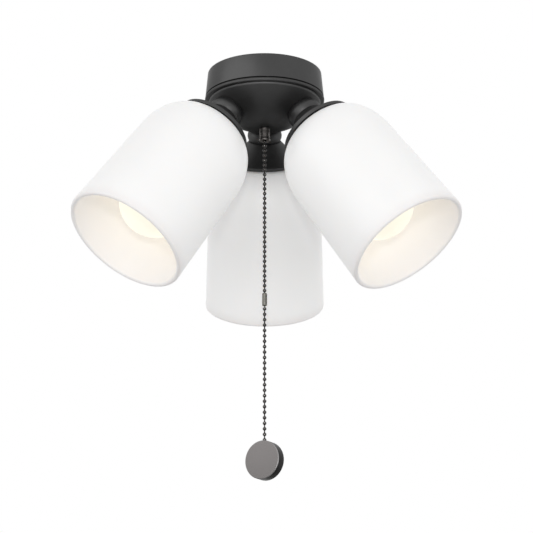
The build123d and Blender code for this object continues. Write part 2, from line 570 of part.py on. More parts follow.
def socket_contact():
    """Round centre contact on a stem that runs up through the socket's floor."""
    return (rod(CONTACT_RADIUS, SOCKET_FLOOR, CONTACT_FACE)
            + rod(CONTACT_STEM_RADIUS, SOCKET_BODY_TOP, SOCKET_FLOOR))


def lamp_base():
    """Lamp's metal base with its black insulator cone and tip contact in one outline."""
    insulator = LAMP_CONTACT + LAMP_TIP_HEIGHT
    shoulder = insulator + LAMP_INSULATOR_HEIGHT
    return turned(outline(
        (0, LAMP_CONTACT), (LAMP_CONTACT_RADIUS, LAMP_CONTACT), (LAMP_CONTACT_RADIUS, insulator),
        (LAMP_INSULATOR_RADIUS, shoulder), (LAMP_BASE_RADIUS, shoulder),
        (LAMP_BASE_RADIUS, LAMP_BASE_END), (0, LAMP_BASE_END)))


def lamp_globe():
    """Thin glass globe: a neck that opens tangentially into a ball."""
    centre = LAMP_TIP - LAMP_RADIUS
    turn = 2 * atan((LAMP_RADIUS - LAMP_NECK_RADIUS) / (centre - LAMP_BASE_END))

    def skin(inset):
        """Points of the outline, moved in by the glass: neck end, tangent point and pole."""
        radius = LAMP_RADIUS - inset
        touch = (radius * cos(turn), centre - radius * sin(turn))
        return (LAMP_NECK_RADIUS - inset, LAMP_BASE_END), touch, (0, centre + radius)

    outer, inner = skin(0), skin(LAMP_GLASS)
    widest = (LAMP_RADIUS, centre), (LAMP_RADIUS - LAMP_GLASS, centre)
    section = make_face([
        TangentArc(outer[0], outer[1], tangent=(0, 1)),
        ThreePointArc(outer[1], widest[0], outer[2]),
        Line(outer[2], inner[2]),
        ThreePointArc(inner[2], widest[1], inner[1]),
        TangentArc(inner[0], inner[1], tangent=(0, 1)),
        Line(inner[0], outer[0]),
    ])
    return turned(section)


def switch_case():
    """Moulded box, open on top, whose round foot stands on the pan's flat over the bushing."""
    middle = (CASE_BOTTOM + CASE_TOP) / 2
    outside = Pos(CASE_CENTRE_X, 0, middle) * Box(CASE_LENGTH, CASE_WIDTH, CASE_HEIGHT)
    outside = fillet(outside.edges().filter_by(Axis.Z), CASE_ROUND)
    outside = outside + rod(FLAT_RADIUS - CASE_FOOT_INSET, FLAT_TOP, CASE_INSIDE_FLOOR)
    inside = Pos(CASE_CENTRE_X, 0, CASE_INSIDE_FLOOR + CASE_HEIGHT / 2) * Box(
        CASE_LENGTH - 2 * CASE_WALL, CASE_WIDTH - 2 * CASE_WALL, CASE_HEIGHT)
    bushing_hole = rod(BUSHING_HOLE, FLAT_TOP - OVERRUN, CASE_INSIDE_FLOOR + OVERRUN)
    pin_hole = rotor_place() * rod(ROTOR_BORE, -CASE_WIDTH, CASE_WIDTH)
    return outside - inside - bushing_hole - pin_hole


def rotor_place():
    """Frame of the rotor: its Z runs along the row's Y through the rotor's axis."""
    return Plane((ROTOR_AXIS_X, 0, ROTOR_AXIS_Z), x_dir=(1, 0, 0), z_dir=(0, 1, 0))


def switch_cover():
    """Lid of the switch with four lead holes."""
    middle = CASE_TOP + COVER_THICKNESS / 2
    lid = Pos(CASE_CENTRE_X, 0, middle) * Box(CASE_LENGTH, CASE_WIDTH, COVER_THICKNESS)
    lid = fillet(lid.edges().filter_by(Axis.Z), CASE_ROUND)
    hole = rod(LEAD_HOLE_RADIUS, CASE_TOP - OVERRUN, CASE_TOP + COVER_THICKNESS + OVERRUN)
    holes = [Pos(CASE_CENTRE_X, 0, 0) * place * hole
             for place in GridLocations(LEAD_HOLE_PITCH, 2 * LEAD_HOLE_PITCH, 2, 2)]
    return lid - holes


def switch_rotor():
    """Grooved chain drum with a ratchet flange and a hub, on the rotor pin."""
    hub_end = ROTOR_HALF + ROTOR_HUB_WIDTH
    drum = turned(outline(
        (ROTOR_BORE, -ROTOR_HALF), (ROTOR_FLANGE_RADIUS, -ROTOR_HALF),
        (ROTOR_FLANGE_RADIUS, -ROTOR_HALF_GROOVE), (ROTOR_GROOVE_RADIUS, -ROTOR_HALF_GROOVE),
        (ROTOR_GROOVE_RADIUS, ROTOR_HALF_GROOVE), (ROTOR_FLANGE_RADIUS, ROTOR_HALF_GROOVE),
        (ROTOR_FLANGE_RADIUS, ROTOR_HALF), (ROTOR_HUB_RADIUS, ROTOR_HALF),
        (ROTOR_HUB_RADIUS, hub_end), (ROTOR_BORE, hub_end)))
    root = ROTOR_FLANGE_RADIUS - ROTOR_TOOTH_DEPTH
    step = radians(360 / ROTOR_TEETH)
    reach = ROTOR_FLANGE_RADIUS + ROTOR_TOOTH_DEPTH
    tooth_gap = make_face(Polyline(
        (root, 0), (reach, 0), (reach * cos(step / 2), reach * sin(step / 2)), close=True))
    cutter = Pos(0, 0, -ROTOR_HALF - OVERRUN) * extrude(
        tooth_gap, ROTOR_FLANGE_WIDTH + OVERRUN - RUNNING_FIT)
    turns = [Rot(0, 0, 360 / ROTOR_TEETH * tooth) for tooth in range(ROTOR_TEETH)]
    return rotor_place() * (drum - [turn * cutter for turn in turns])


def rotor_pin():
    """Steel pin that carries the rotor between the case's walls."""
    return rotor_place() * rod(ROTOR_PIN_RADIUS, -CASE_WIDTH / 2, CASE_WIDTH / 2)


def return_spring():
    """Torsion spring coiled loosely round the rotor's hub."""
    coil_radius = ROTOR_HUB_RADIUS + FREE_GAP + SPRING_WIRE_RADIUS
    path = Helix(SPRING_PITCH, SPRING_PITCH * SPRING_TURN_COUNT, coil_radius)
    wire = Plane(path @ 0, z_dir=path % 0) * Circle(SPRING_WIRE_RADIUS)
    coil = sweep(wire, path, is_frenet=True)
    return rotor_place() * Pos(0, 0, SPRING_START) * coil


def switch_contacts():
    """Two brass blades that hang from the cover beside the ratchet flange."""
    blade = Box(BLADE_THICKNESS, BLADE_WIDTH, BLADE_LENGTH)
    reach = CASE_INSIDE_HALF - BLADE_SIDE_GAP - BLADE_WIDTH / 2
    return [Pos(BLADE_X, side * reach, CASE_TOP - BLADE_LENGTH / 2) * blade for side in (-1, 1)]


def switch_bushing():
    """Hollow threaded stem of the switch, through the case's foot and the pan."""
    return tube(BUSHING_RADIUS, BUSHING_BORE_RADIUS, BUSHING_END, CASE_INSIDE_FLOOR)


def switch_nut():
    """Long round nut on the bushing, drawn up against the pan's flat."""
    edge = SLEEVE_RADIUS - SLEEVE_CHAMFER
    return turned(outline(
        (BUSHING_HOLE, BELL_TOP), (edge, BELL_TOP), (SLEEVE_RADIUS, BELL_TOP + SLEEVE_CHAMFER),
        (SLEEVE_RADIUS, FLAT - SLEEVE_CHAMFER), (edge, FLAT), (BUSHING_HOLE, FLAT)))


def bell_mouth():
    """Chain guide screwed on the bushing's end, flared where the chain leaves."""
    return turned(outline(
        (BUSHING_HOLE, BELL_TOP), (BELL_NECK_RADIUS, BELL_TOP),
        (BELL_NECK_RADIUS, BELL_NECK_END), (BELL_RADIUS, BELL_NECK_END - BELL_FLARE_HEIGHT),
        (BELL_RADIUS, BELL_LIP, BELL_ROUND),
        (BELL_LIP_RADIUS, BELL_LIP), (BUSHING_BORE_RADIUS, BELL_LIP + BELL_LIP_HEIGHT),
        (BUSHING_BORE_RADIUS, BUSHING_END), (BUSHING_HOLE, BUSHING_END)))


def bead_string(centres, wire_top=None, wire_bottom=None):
    """Beads on a wire as one turned solid. Centres run downwards; a wire end that is given
    leads out of the first bead upwards or out of the last bead downwards."""
    waist = sqrt(CHAIN_BEAD_RADIUS**2 - CHAIN_WAIST_RADIUS**2)
    edges, last = [], None
    if wire_top is not None:
        last = (CHAIN_WAIST_RADIUS, centres[0] + waist)
        edges.append(Polyline((0, wire_top), (CHAIN_WIRE_RADIUS, wire_top),
                              (CHAIN_WIRE_RADIUS, centres[0] + waist), last))
    for centre in centres:
        top = (CHAIN_WAIST_RADIUS, centre + waist)
        bottom = (CHAIN_WAIST_RADIUS, centre - waist)
        if last is None:
            edges.append(ThreePointArc((0, centre + CHAIN_BEAD_RADIUS), *arc_to(top, centre)))
        elif last != top:
            edges.append(Polyline(last, (CHAIN_WIRE_RADIUS, last[1]),
                                  (CHAIN_WIRE_RADIUS, top[1]), top))
        edges.append(ThreePointArc(top, (CHAIN_BEAD_RADIUS, centre), bottom))
        last = bottom
    if wire_bottom is None:
        centre = centres[-1]
        edges.append(ThreePointArc((0, centre - CHAIN_BEAD_RADIUS), *arc_to(last, centre)))
        end = (0, centre - CHAIN_BEAD_RADIUS)
    else:
        edges.append(Polyline(last, (CHAIN_WIRE_RADIUS, last[1]),
                              (CHAIN_WIRE_RADIUS, wire_bottom), (0, wire_bottom)))
        end = (0, wire_bottom)
    start = (0, wire_top if wire_top is not None else centres[0] + CHAIN_BEAD_RADIUS)
    edges.append(Line(end, start))
    return turned(make_face(edges))


def arc_to(rim, centre):
    """Middle and end of the polar arc from a bead's pole to its waist rim."""
    side = 1 if rim[1] > centre else -1
    half = CHAIN_WAIST_RADIUS / 2
    return (half, centre + side * sqrt(CHAIN_BEAD_RADIUS**2 - half**2)), rim


def string_down(first, pitch, count):
    """Centres of a row of beads, from the first one down."""
    return [first - pitch * bead for bead in range(count)]


def pull_chain_inner():
    """Chain from the rotor's groove down through the bushing to the bell mouth."""
    highest = TOP_PIVOT + UPPER_PITCH * INNER_BEAD_COUNT
    centres = string_down(highest, UPPER_PITCH, INNER_BEAD_COUNT)
    return bead_string(centres, wire_bottom=TOP_PIVOT + CHAIN_BEAD_RADIUS + FREE_GAP)


def upper_chain():
    """Chain from the bell mouth to the bead held in the coupling's top."""
    centres = string_down(UPPER_FIRST, UPPER_PITCH, UPPER_BEAD_COUNT)
    centres.append(COUPLING_TOP - CAPTIVE_DROP)
    return bead_string(centres, wire_top=TOP_PIVOT - CHAIN_BEAD_RADIUS - FREE_GAP)


def chain_coupling():
    """Split tube that snaps over the end beads of both chains."""
    bore = COUPLING_RADIUS - COUPLING_WALL
    low = COUPLING_BOTTOM + COUPLING_WALL
    high = COUPLING_TOP - COUPLING_WALL
    inner_round = COUPLING_ROUND - COUPLING_WALL
    barrel = turned(outline(
        (COUPLING_MOUTH, COUPLING_BOTTOM), (COUPLING_RADIUS, COUPLING_BOTTOM, COUPLING_ROUND),
        (COUPLING_RADIUS, COUPLING_TOP, COUPLING_ROUND), (COUPLING_MOUTH, COUPLING_TOP),
        (COUPLING_MOUTH, high), (bore, high, inner_round), (bore, low, inner_round),
        (COUPLING_MOUTH, low)))
    middle = (COUPLING_TOP + COUPLING_BOTTOM) / 2
    slot = Pos(0, -COUPLING_RADIUS, middle) * Box(
        COUPLING_SLOT, 2 * COUPLING_RADIUS, COUPLING_LENGTH - 2 * COUPLING_ROUND)
    return barrel - slot


def coupling_bead():
    """End bead of the lower chain, held in the coupling, with its wire."""
    return bead_string([LOWER_CAPTIVE], wire_bottom=LOWER_PIVOT + CHAIN_BEAD_RADIUS + FREE_GAP)


def lower_chain():
    """Chain from the bead under the coupling to the bead held inside the disc."""
    centres = string_down(LOWER_PIVOT - LOWER_PITCH, LOWER_PITCH, LOWER_BEAD_COUNT)
    centres.append(DISC_CAPTIVE)
    return bead_string(centres, wire_top=LOWER_PIVOT - CHAIN_BEAD_RADIUS - FREE_GAP)


def link_bead(height):
    """A single bead that the chain pivots on."""
    return Pos(0, 0, height) * Sphere(CHAIN_BEAD_RADIUS)


def disc_bore_radius():
    """Bore that the chain's end beads hang in."""
    return CHAIN_BEAD_RADIUS + FREE_GAP


def ferrule_top():
    """Height of the ring that traps the last bead, midway between the last two beads."""
    return (LOWER_LAST + DISC_CAPTIVE + FERRULE_THICKNESS) / 2


def pull_disc():
    """Flat disc standing on edge, bored from its top edge for the chain's end."""
    bottom = DISC_CAPTIVE - CHAIN_BEAD_RADIUS - FREE_GAP
    disc = chamfer(Cylinder(DISC_RADIUS, DISC_THICKNESS).edges(), DISC_CHAMFER)
    disc = Pos(0, 0, DISC_CENTRE) * Rot(0, 0, DISC_YAW) * Rot(90, 0, 0) * disc
    return disc - rod(disc_bore_radius(), bottom, DISC_TOP + OVERRUN)


def disc_ferrule():
    """Ring pressed in the disc's bore around the chain's last wire."""
    high = ferrule_top()
    return tube(disc_bore_radius(), CHAIN_WIRE_RADIUS + FREE_GAP, high - FERRULE_THICKNESS, high)


def save(name, *shapes):
    """Writes one node from its solids."""
    solids = [solid for shape in shapes for solid in shape.solids()]
    export_step(Compound(children=solids), f"parts/{name}.step")


def per_arm(make):
    """One sub-part set in the frame of each arm, by arm name."""
    shape = make()
    shapes = shape if isinstance(shape, list) else [shape]
    return {arm: [arm_frame(angle) * one for one in shapes]
            for arm, angle in ARM_ANGLES.items()}


ARM_PARTS = {
    "arm_collar": arm_collar,
    "socket_cup": socket_cup,
    "shade_gasket": shade_gasket,
    "glass_shade": glass_shade,
    "shade_ring": shade_ring,
    "socket_body": socket_body,
    "socket_shell": socket_shell,
    "socket_contact": socket_contact,
    "lamp_base": lamp_base,
    "lamp_globe": lamp_globe,
}


def main():
    os.makedirs("parts", exist_ok=True)
    save("canopy_drum", canopy_drum())
    save("fitter_pan", fitter_pan())
    save("mounting_strap", mounting_strap())
    save("ground_screw", ground_screw())
    save("mounting_nipple", mounting_nipple())
    save("nipple_locknuts", *nipple_locknuts())
    save("star_washer", star_washer())

    for name, make in ARM_PARTS.items():
        for arm, shapes in per_arm(make).items():
            save(f"{arm}_{name}", *shapes)
    save("arm_nipples", *[one for shapes in per_arm(arm_nipple).values() for one in shapes])
    save("arm_locknuts", *[one for shapes in per_arm(arm_locknuts).values() for one in shapes])

    save("switch_case", switch_case())
    save("switch_cover", switch_cover())
    save("switch_rotor", switch_rotor())
    save("rotor_pin", rotor_pin())
    save("return_spring", return_spring())
    save("switch_contacts", *switch_contacts())
    save("switch_bushing", switch_bushing())
    save("switch_nut", switch_nut())
    save("bell_mouth", bell_mouth())

    save("pull_chain_inner", pull_chain_inner())
    save("upper_link_bead", link_bead(TOP_PIVOT))
    save("upper_chain", upper_chain())
    save("chain_coupling", chain_coupling())
    save("coupling_bead", coupling_bead())
    save("lower_link_bead", link_bead(LOWER_PIVOT))
    save("lower_chain", lower_chain())
    save("pull_disc", pull_disc())
    save("disc_ferrule", disc_ferrule())


main()
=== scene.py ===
import json
from math import asin, atan, atan2, ceil, cos, degrees, pi, radians, sin, sqrt

import bmesh
import bpy
from mathutils import Matrix, Vector

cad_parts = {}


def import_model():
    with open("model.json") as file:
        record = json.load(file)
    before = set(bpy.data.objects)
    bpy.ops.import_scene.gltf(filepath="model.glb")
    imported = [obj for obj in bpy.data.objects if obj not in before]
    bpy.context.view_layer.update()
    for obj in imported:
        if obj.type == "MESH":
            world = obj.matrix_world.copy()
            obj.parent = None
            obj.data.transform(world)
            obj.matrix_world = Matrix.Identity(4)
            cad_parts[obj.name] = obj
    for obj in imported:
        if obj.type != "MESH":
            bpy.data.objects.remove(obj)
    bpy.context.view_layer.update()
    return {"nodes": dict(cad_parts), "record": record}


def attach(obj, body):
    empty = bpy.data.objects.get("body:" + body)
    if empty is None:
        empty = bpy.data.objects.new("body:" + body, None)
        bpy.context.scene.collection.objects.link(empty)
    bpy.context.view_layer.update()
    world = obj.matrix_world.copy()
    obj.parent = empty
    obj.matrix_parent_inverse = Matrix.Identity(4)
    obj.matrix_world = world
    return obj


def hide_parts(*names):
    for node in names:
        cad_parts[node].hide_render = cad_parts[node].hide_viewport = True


# Looks of a ceiling fan light kit: pewter canopy, arms and cups, opal glass shades with lit
# lamps, and a bead chain with a disc pull. Sizes are in millimetres; MM turns them to metres.
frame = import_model()

MM = 0.001

# Camera: a 36 mm sensor and a long lens, in metres from the canopy's top rim
SENSOR_WIDTH = 36.0
FOCAL_LENGTH = 143.2
CAMERA_PLACE = (0.0016, -1.7018, -0.6818)
CAMERA_PITCH = 106.66

# Lamps of the studio: place, width and height in metres, and power in watts. A name that ends
# in "sheen" is a light that shows in gloss alone, and one that ends in "fill" doesn't show in it.
LIGHT_AIM = (0, 0, -0.15)
LIGHTS = {
    "left_sheen": ((-1.75, -1.25, 0.8), 3.0, 1.6, 14.0),
    "left_panel": ((-1.75, -1.25, 0.8), 3.0, 1.6, 5.0),
    "top_fill": ((1.2, -0.6, 2.0), 1.4, 1.4, 2.2),
    "front_sheen": ((-0.3, -2.3, -0.9), 3.0, 1.0, 13.0),
    "left_fill": ((-1.5, -1.9, -0.9), 1.2, 1.0, 6.1),
    "right_fill": ((1.2, -2.1, -0.9), 1.2, 1.0, 7.4),
    "sparkle": ((0.0, -2.2, -0.5), 0.15, 0.15, 6.0),
}
ROOM_LIGHT = 0.62  # strength of the world's even light; the white that is seen has 1
FLOORS = {"floor": (6.0, -2.75), "floor_far": (18.0, -2.76)}  # half width and height in metres

# Arms
ARM_AZIMUTHS = {"back": 90, "left": 210, "right": 334}
ARM_TILT = 36

# Canopy
DRUM_TOP_RADIUS = 48.8
DRUM_BOTTOM_RADIUS = 50.8
DRUM_BOTTOM = -21.5
DRUM_WALL = 1.2
DRUM_LIP = 0.7  # rounding of the rim's outer edge
DRUM_HEM = 0.35  # rounding of its other edges
WEB_TOP = -5.0
WEB_BEND = 1.6
VENT_CIRCLE = 34.0
VENT_RADIUS = 3.0
VENTS = 6
VENT_TURN = 2 * pi / VENTS
NIPPLE_HOLE = 5.3
BEAD_ROOT = 50.0
BEAD_RADIUS = 51.2
BEAD_TOP = -22.3
BEAD_BOTTOM = -25.4
SHOULDER_RADIUS = 48.0
SHOULDER = -26.2
SHOULDER_ROUND = 1.1
SHOULDER_TRIM = 0.6  # degrees of the bowl that the rounding takes up
WALL_ROUND = 0.08  # between the bead and the short wall
PAINTED_SEAM_SHADOW = (BEAD_TOP - 0.05, DRUM_BOTTOM + 0.1)  # heights of a painted shadow line: the paint is darkened in the groove under the drum
PAINTED_SHOULDER_HIGHLIGHT = (SHOULDER - 0.9, SHOULDER + 0.3)  # heights of the shoulder, where a lighter band is a painted highlight
BOWL_RADIUS = 60.0
SPHERE_CENTRE = SHOULDER + sqrt(BOWL_RADIUS**2 - SHOULDER_RADIUS**2)
FLAT = -49.7
PAN_WALL = 1.5
PAD_RADIUS = 12.2
PAD_ROUND = 0.3
SPIGOT_RADIUS = 48.0
SPIGOT_TOP = -14.0
PAN_DULLNESS = 0.14  # how much rougher the pan is than the drum

# Places along an arm, from the centre of the bowl's sphere
ARM_SEAT = 60.4
CUP_TOP = 69.0
CUP_FLARE_END = 84.7
CUP_EDGE = 87.7
GLASS_TOP = 88.5
GLASS_SHOULDER = 128.8
GLASS_MOUTH = 222.8
LAMP_CONTACT = 95.5
LAMP_BASE_END = 120.5
LAMP_TIP = 205.5

# Collar and cup
NECK_RADIUS = 14.0
COLLAR_END_RADIUS = 13.2
COLLAR_BEAD_RADIUS = 14.9
COLLAR_SKIRT_RADIUS = 12.8  # where the bead meets the bowl, round the raised seat
COLLAR_SKIRT = 58.3
CUP_RADIUS = 32.8
CUP_WALL = 1.2
CUP_FLARE_SAG = 1.0
CUP_RIM_ROUND = 0.55
COLLAR_PLAY = 0.1  # between collar and raised seat
FLANGE_DEPTH = 1.2

# Glass
GLASS_WALL = 4.0
GLASS_TOP_RADIUS = 27.3
GLASS_HOLE_RADIUS = 20.6
GLASS_SHOULDER_RADIUS = 49.8
GLASS_MOUTH_RADIUS = 52.8
GLASS_HOLE_ROUND = 0.8

# Lamp
LAMP_RADIUS = 30.0
LAMP_NECK_RADIUS = 13.4
LAMP_BASE_RADIUS = 13.1
LAMP_THREAD_PITCH = 3.63
LAMP_THREAD_DEPTH = 0.7
LAMP_CONTACT_RADIUS = 4.8
LAMP_INSULATOR_RADIUS = 9.5
LAMP_INSULATOR_HEIGHT = 3.4
LAMP_TIP_HEIGHT = 0.8
LAMP_TIP_SLOPE = 0.8

# Nipple
NIPPLE_RADIUS = 5.14
NIPPLE_BORE = 3.5
NIPPLE_BOTTOM = -20.7
NIPPLE_TOP = 14.0
NIPPLE_PITCH = 0.94
NIPPLE_THREAD_DEPTH = 0.45
RELIEF_TOP = -0.2
RELIEF_BOTTOM = -0.8
RELIEF_DEPTH = 0.5

# Switch sleeve and bell mouth
BUSHING_RADIUS = 3.55
BUSHING_END = -57.1
BUSHING_HOLE = BUSHING_RADIUS + 0.05
SLEEVE_RADIUS = 4.55
SLEEVE_BOTTOM = -54.6
SLEEVE_FLUTES = 30
SLEEVE_FLUTE_DEPTH = 0.12
SLEEVE_CHAMFER = 0.35
SLEEVE_BAND = 1.1  # plain length at each end
SLEEVE_RUN_OUT = 1.5  # where the flutes have their full depth
BELL_NECK_RADIUS = 4.15
BELL_NECK_END = -58.2
BELL_RADIUS = 4.85
BELL_SKIRT_TOP = -59.6
BELL_LIP = -61.2
BELL_ROUND = 0.8
BELL_NECK_ROUND = 0.6
BELL_SKIRT_ROUND = 0.5
BELL_THROAT_ROUND = 1.0
BELL_EDGE_ROUND = 0.2
BELL_THROAT = 2.3
BELL_LIP_RADIUS = 3.75
BELL_LIP_HEIGHT = 2.2
BELL_RINGS = (-55.6, -57.3)  # heights of the rings round the neck
BELL_RING_PROUD = 0.35
BELL_RING_HALF = 0.5

# Bead chain
BEAD = 1.6
WIRE = 0.55
WIRE_FLARE = 1.2  # how much thicker a link is where it enters a bead
WIRE_FLARE_LENGTH = 0.35
WAIST = 0.8  # radius of a bead's wire holes
BEAD_POLE = sqrt(BEAD**2 - WAIST**2)  # height of the holes over the bead's centre
BEAD_LIP = 0.8  # share of a hole's radius that its rolled rim leaves
BEAD_LIP_PROUD = 0.03
BEAD_LIP_DEPTH = 0.15
BEAD_GAP = BEAD + 0.3  # from a pivot bead's centre to the wire that ends at it
UPPER_PITCH = 4.27
UPPER_BEADS = 31
LOWER_PITCH = 4.63
LOWER_BEADS = 24
INNER_BEADS = 6
COUPLING_RADIUS = 2.15
COUPLING_GAP = 0.5  # under the upper chain's last free bead
COUPLING_LENGTH = 11.3
COUPLING_TOP = BELL_LIP - UPPER_BEADS * UPPER_PITCH - BEAD - COUPLING_GAP
COUPLING_BOTTOM = COUPLING_TOP - COUPLING_LENGTH
COUPLING_WALL = 0.4
COUPLING_ROUND = 1.2
COUPLING_MOUTH = 0.9
COUPLING_SLOT_TURN = 38
COUPLING_SLOT_HALF = 0.35  # half its width
COUPLING_SLOT_ROOT = -0.2  # how near to the axis the cut begins
CAPTIVE_DROP = 2.15  # from the coupling's end to the end bead that it holds
LOWER_PIVOT = COUPLING_BOTTOM + CAPTIVE_DROP - LOWER_PITCH

# Disc pull
DISC_RADIUS = 16.0
DISC_THICKNESS = 9.0
DISC_CHAMFER = 0.5
DISC_ROUND = 0.15
DISC_YAW = -31
DISC_BEAD_STAND = 1.1  # from the last free bead's centre to the disc's edge
DISC_BORE = BEAD + 0.3  # radius of the last bead's hole, and its depth under the bead's centre

# Fineness of turned surfaces: points round a turn, points to a flute of the knurling, and the
# angle from which an edge is sharp
TURNS = 160
SHADE_TURNS = 192
DISC_TURNS = 128
MEDIUM_TURNS = 96
SMALL_TURNS = 64
BORE_TURNS = 48
BEAD_TURNS = 32
WIRE_TURNS = 16
FLUTE_TURNS = 8
CREASE = 32
ON_AXIS = 1e-6
CUT_PAST = 1.0  # how far a cutting tool stands out of the surface

# How far noise moves a finish's roughness
PAINT_MOTTLE = 0.05
PLASTIC_MOTTLE = 0.08
METAL_MOTTLE = 0.2  # as a share


def camera():
    """The photograph's view: from below, far off, with a long lens."""
    data = bpy.data.cameras.new("camera")
    data.sensor_width = SENSOR_WIDTH
    data.lens = FOCAL_LENGTH
    seen = bpy.data.objects.new("camera", data)
    seen.location = CAMERA_PLACE
    seen.rotation_euler = (radians(CAMERA_PITCH), 0, 0)
    bpy.context.scene.collection.objects.link(seen)
    bpy.context.scene.camera = seen


# Outlines. A point is (radius, height) and an outline goes round a section.

def rounded(*corners, steps=6):
    """Outline with the corners (radius, height) kept and those with a third number rounded."""
    points = []
    count = len(corners)
    for index, (x, y, *radius) in enumerate(corners):
        if not radius:
            points.append((x, y))
            continue
        here = Vector((x, y))
        before = (Vector(corners[index - 1][:2]) - here).normalized()
        after = (Vector(corners[(index + 1) % count][:2]) - here).normalized()
        half = before.angle(after) / 2
        centre = here + (before + after).normalized() * (radius[0] / sin(half))
        start = here + before * (radius[0] * cos(half) / sin(half)) - centre
        end = here + after * (radius[0] * cos(half) / sin(half)) - centre
        sweep = start.angle(end)
        for step in range(steps + 1):
            part = step / steps
            arm = (start * sin((1 - part) * sweep) + end * sin(part * sweep)) / sin(sweep)
            points.append(tuple(centre + arm))
    return points


def arc(centre, radii, start, end, steps):
    """Points of an ellipse's arc about a centre, between two angles in degrees."""
    return [(centre[0] + radii[0] * cos(radians(start + (end - start) * step / steps)),
             centre[1] + radii[1] * sin(radians(start + (end - start) * step / steps)))
            for step in range(steps + 1)]


def bowed(start, end, sag, steps=12):
    """Points of an arc between two points that bows to the left of the way by sag."""
    start, end = Vector(start), Vector(end)
    across = (end - start).orthogonal().normalized()
    return [tuple(start.lerp(end, step / steps)
                  + across * sag * (1 - (2 * step / steps - 1)**2)) for step in range(steps + 1)]


# Meshes

def piece(name, vertices, faces, material, place=Matrix.Identity(4)):
    """A smooth-shaded object from vertices in millimetres, set in a frame."""
    mesh = bpy.data.meshes.new(name)
    mesh.from_pydata([tuple(MM * x for x in place @ Vector(v)) for v in vertices], [], faces)
    mesh.validate()
    mesh.shade_smooth()
    mesh.set_sharp_from_angle(angle=radians(CREASE))
    mesh.materials.append(material)
    made = bpy.data.objects.new(name, mesh)
    bpy.context.scene.collection.objects.link(made)
    return made


def ring(radius, height, turns):
    """Points of a level circle about Z."""
    return [(radius * cos(2 * pi * t / turns), radius * sin(2 * pi * t / turns), height)
            for t in range(turns)]


def belt(first, second, turns):
    """Faces between two rings, given by the index of their first points."""
    return [[first + t, first + (t + 1) % turns, second + (t + 1) % turns, second + t]
            for t in range(turns)]


def lathe(outline, turns=TURNS, closed=True):
    """Vertices and faces of a section turned about Z. Points on the axis become one vertex."""
    vertices, rings = [], []
    for radius, height in outline:
        if radius < ON_AXIS:
            rings.append([len(vertices)] * turns)
            vertices.append((0, 0, height))
            continue
        rings.append(list(range(len(vertices), len(vertices) + turns)))
        vertices += ring(radius, height, turns)
    faces = []
    count = len(rings)
    for index in range(count if closed else count - 1):
        low, high = rings[index], rings[(index + 1) % count]
        if low[0] == low[1] and high[0] == high[1]:
            continue
        for t in range(turns):
            u = (t + 1) % turns
            corners = [low[t], low[u], high[u], high[t]]
            faces.append(list(dict.fromkeys(corners)))
    return vertices, faces


def joined(*parts):
    """Several (vertices, faces) as one."""
    vertices, faces = [], []
    for some_vertices, some_faces in parts:
        base = len(vertices)
        vertices += some_vertices
        faces += [[base + corner for corner in face] for face in some_faces]
    return vertices, faces


def shifted(part, height):
    """A (vertices, faces) moved up by a height."""
    return [(x, y, z + height) for x, y, z in part[0]], part[1]


def moved(part, place):
    """A (vertices, faces) set in a frame."""
    return [tuple(place @ Vector(v)) for v in part[0]], part[1]


def outwards(made):
    """Turns an object's faces outwards."""
    work = bmesh.new()
    work.from_mesh(made.data)
    bmesh.ops.recalc_face_normals(work, faces=work.faces)
    work.to_mesh(made.data)
    work.free()
    made.data.set_sharp_from_angle(angle=radians(CREASE))
    return made


def finished(made, body, slot, *nodes):
    """Sets a piece on its body, in place of CAD nodes. The slot argument is not used."""
    outwards(made)
    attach(made, body)
    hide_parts(*nodes)
    return made


def arm_frame(azimuth):
    """Frame of one arm: origin at the bowl's sphere centre, Z outwards along the arm."""
    away = Vector((cos(radians(azimuth)), sin(radians(azimuth)), 0))
    along = away * sin(radians(ARM_TILT)) - Vector((0, 0, cos(radians(ARM_TILT))))
    across = Vector((0, 0, 1)).cross(away).normalized()
    third = along.cross(across)
    rows = zip(across, third, along, (0, 0, SPHERE_CENTRE))
    return Matrix([*rows, (0, 0, 0, 1)])


# Materials

def shader(name, **values):
    """A new material, its node tree and its Principled shader, with plain values set."""
    made = bpy.data.materials.new(name)
    made.use_nodes = True
    tree = made.node_tree
    surface = tree.nodes["Principled BSDF"]
    for key, value in values.items():
        surface.inputs[key.replace("_", " ")].default_value = value
    return made, tree, surface


def noise(tree, scale, detail=3.0):
    """Noise over the object's own coordinates, in metres times scale."""
    place = tree.nodes.new("ShaderNodeTexCoord")
    texture = tree.nodes.new("ShaderNodeTexNoise")
    texture.inputs["Scale"].default_value = scale
    texture.inputs["Detail"].default_value = detail
    tree.links.new(place.outputs["Object"], texture.inputs["Vector"])
    return texture.outputs["Fac"]


def ramp(tree, value, low, high, start=0.3, end=0.7, between=()):
    """Colour from low to high as the value goes from start to end, by way of others."""
    made = tree.nodes.new("ShaderNodeValToRGB")
    made.color_ramp.elements[0].position = start
    made.color_ramp.elements[0].color = low
    made.color_ramp.elements[1].position = end
    made.color_ramp.elements[1].color = high
    for position, colour in between:
        made.color_ramp.elements.new(position).color = colour
    tree.links.new(value, made.inputs["Fac"])
    return made.outputs["Color"]


def spread(tree, value, low, high):
    """A number from low to high as the value goes from 0 to 1."""
    made = tree.nodes.new("ShaderNodeMapRange")
    made.inputs["To Min"].default_value = low
    made.inputs["To Max"].default_value = high
    tree.links.new(value, made.inputs["Value"])
    return made.outputs["Result"]


def feed(tree, plug, value):
    """Gives a socket a plain value or the output of another node."""
    if isinstance(value, bpy.types.NodeSocket):
        tree.links.new(value, plug)
    else:
        plug.default_value = value


def maths(tree, operation, *values):
    """Result of a Math node on numbers and outputs."""
    made = tree.nodes.new("ShaderNodeMath")
    made.operation = operation
    for plug, value in zip(made.inputs, values):
        feed(tree, plug, value)
    return made.outputs["Value"]


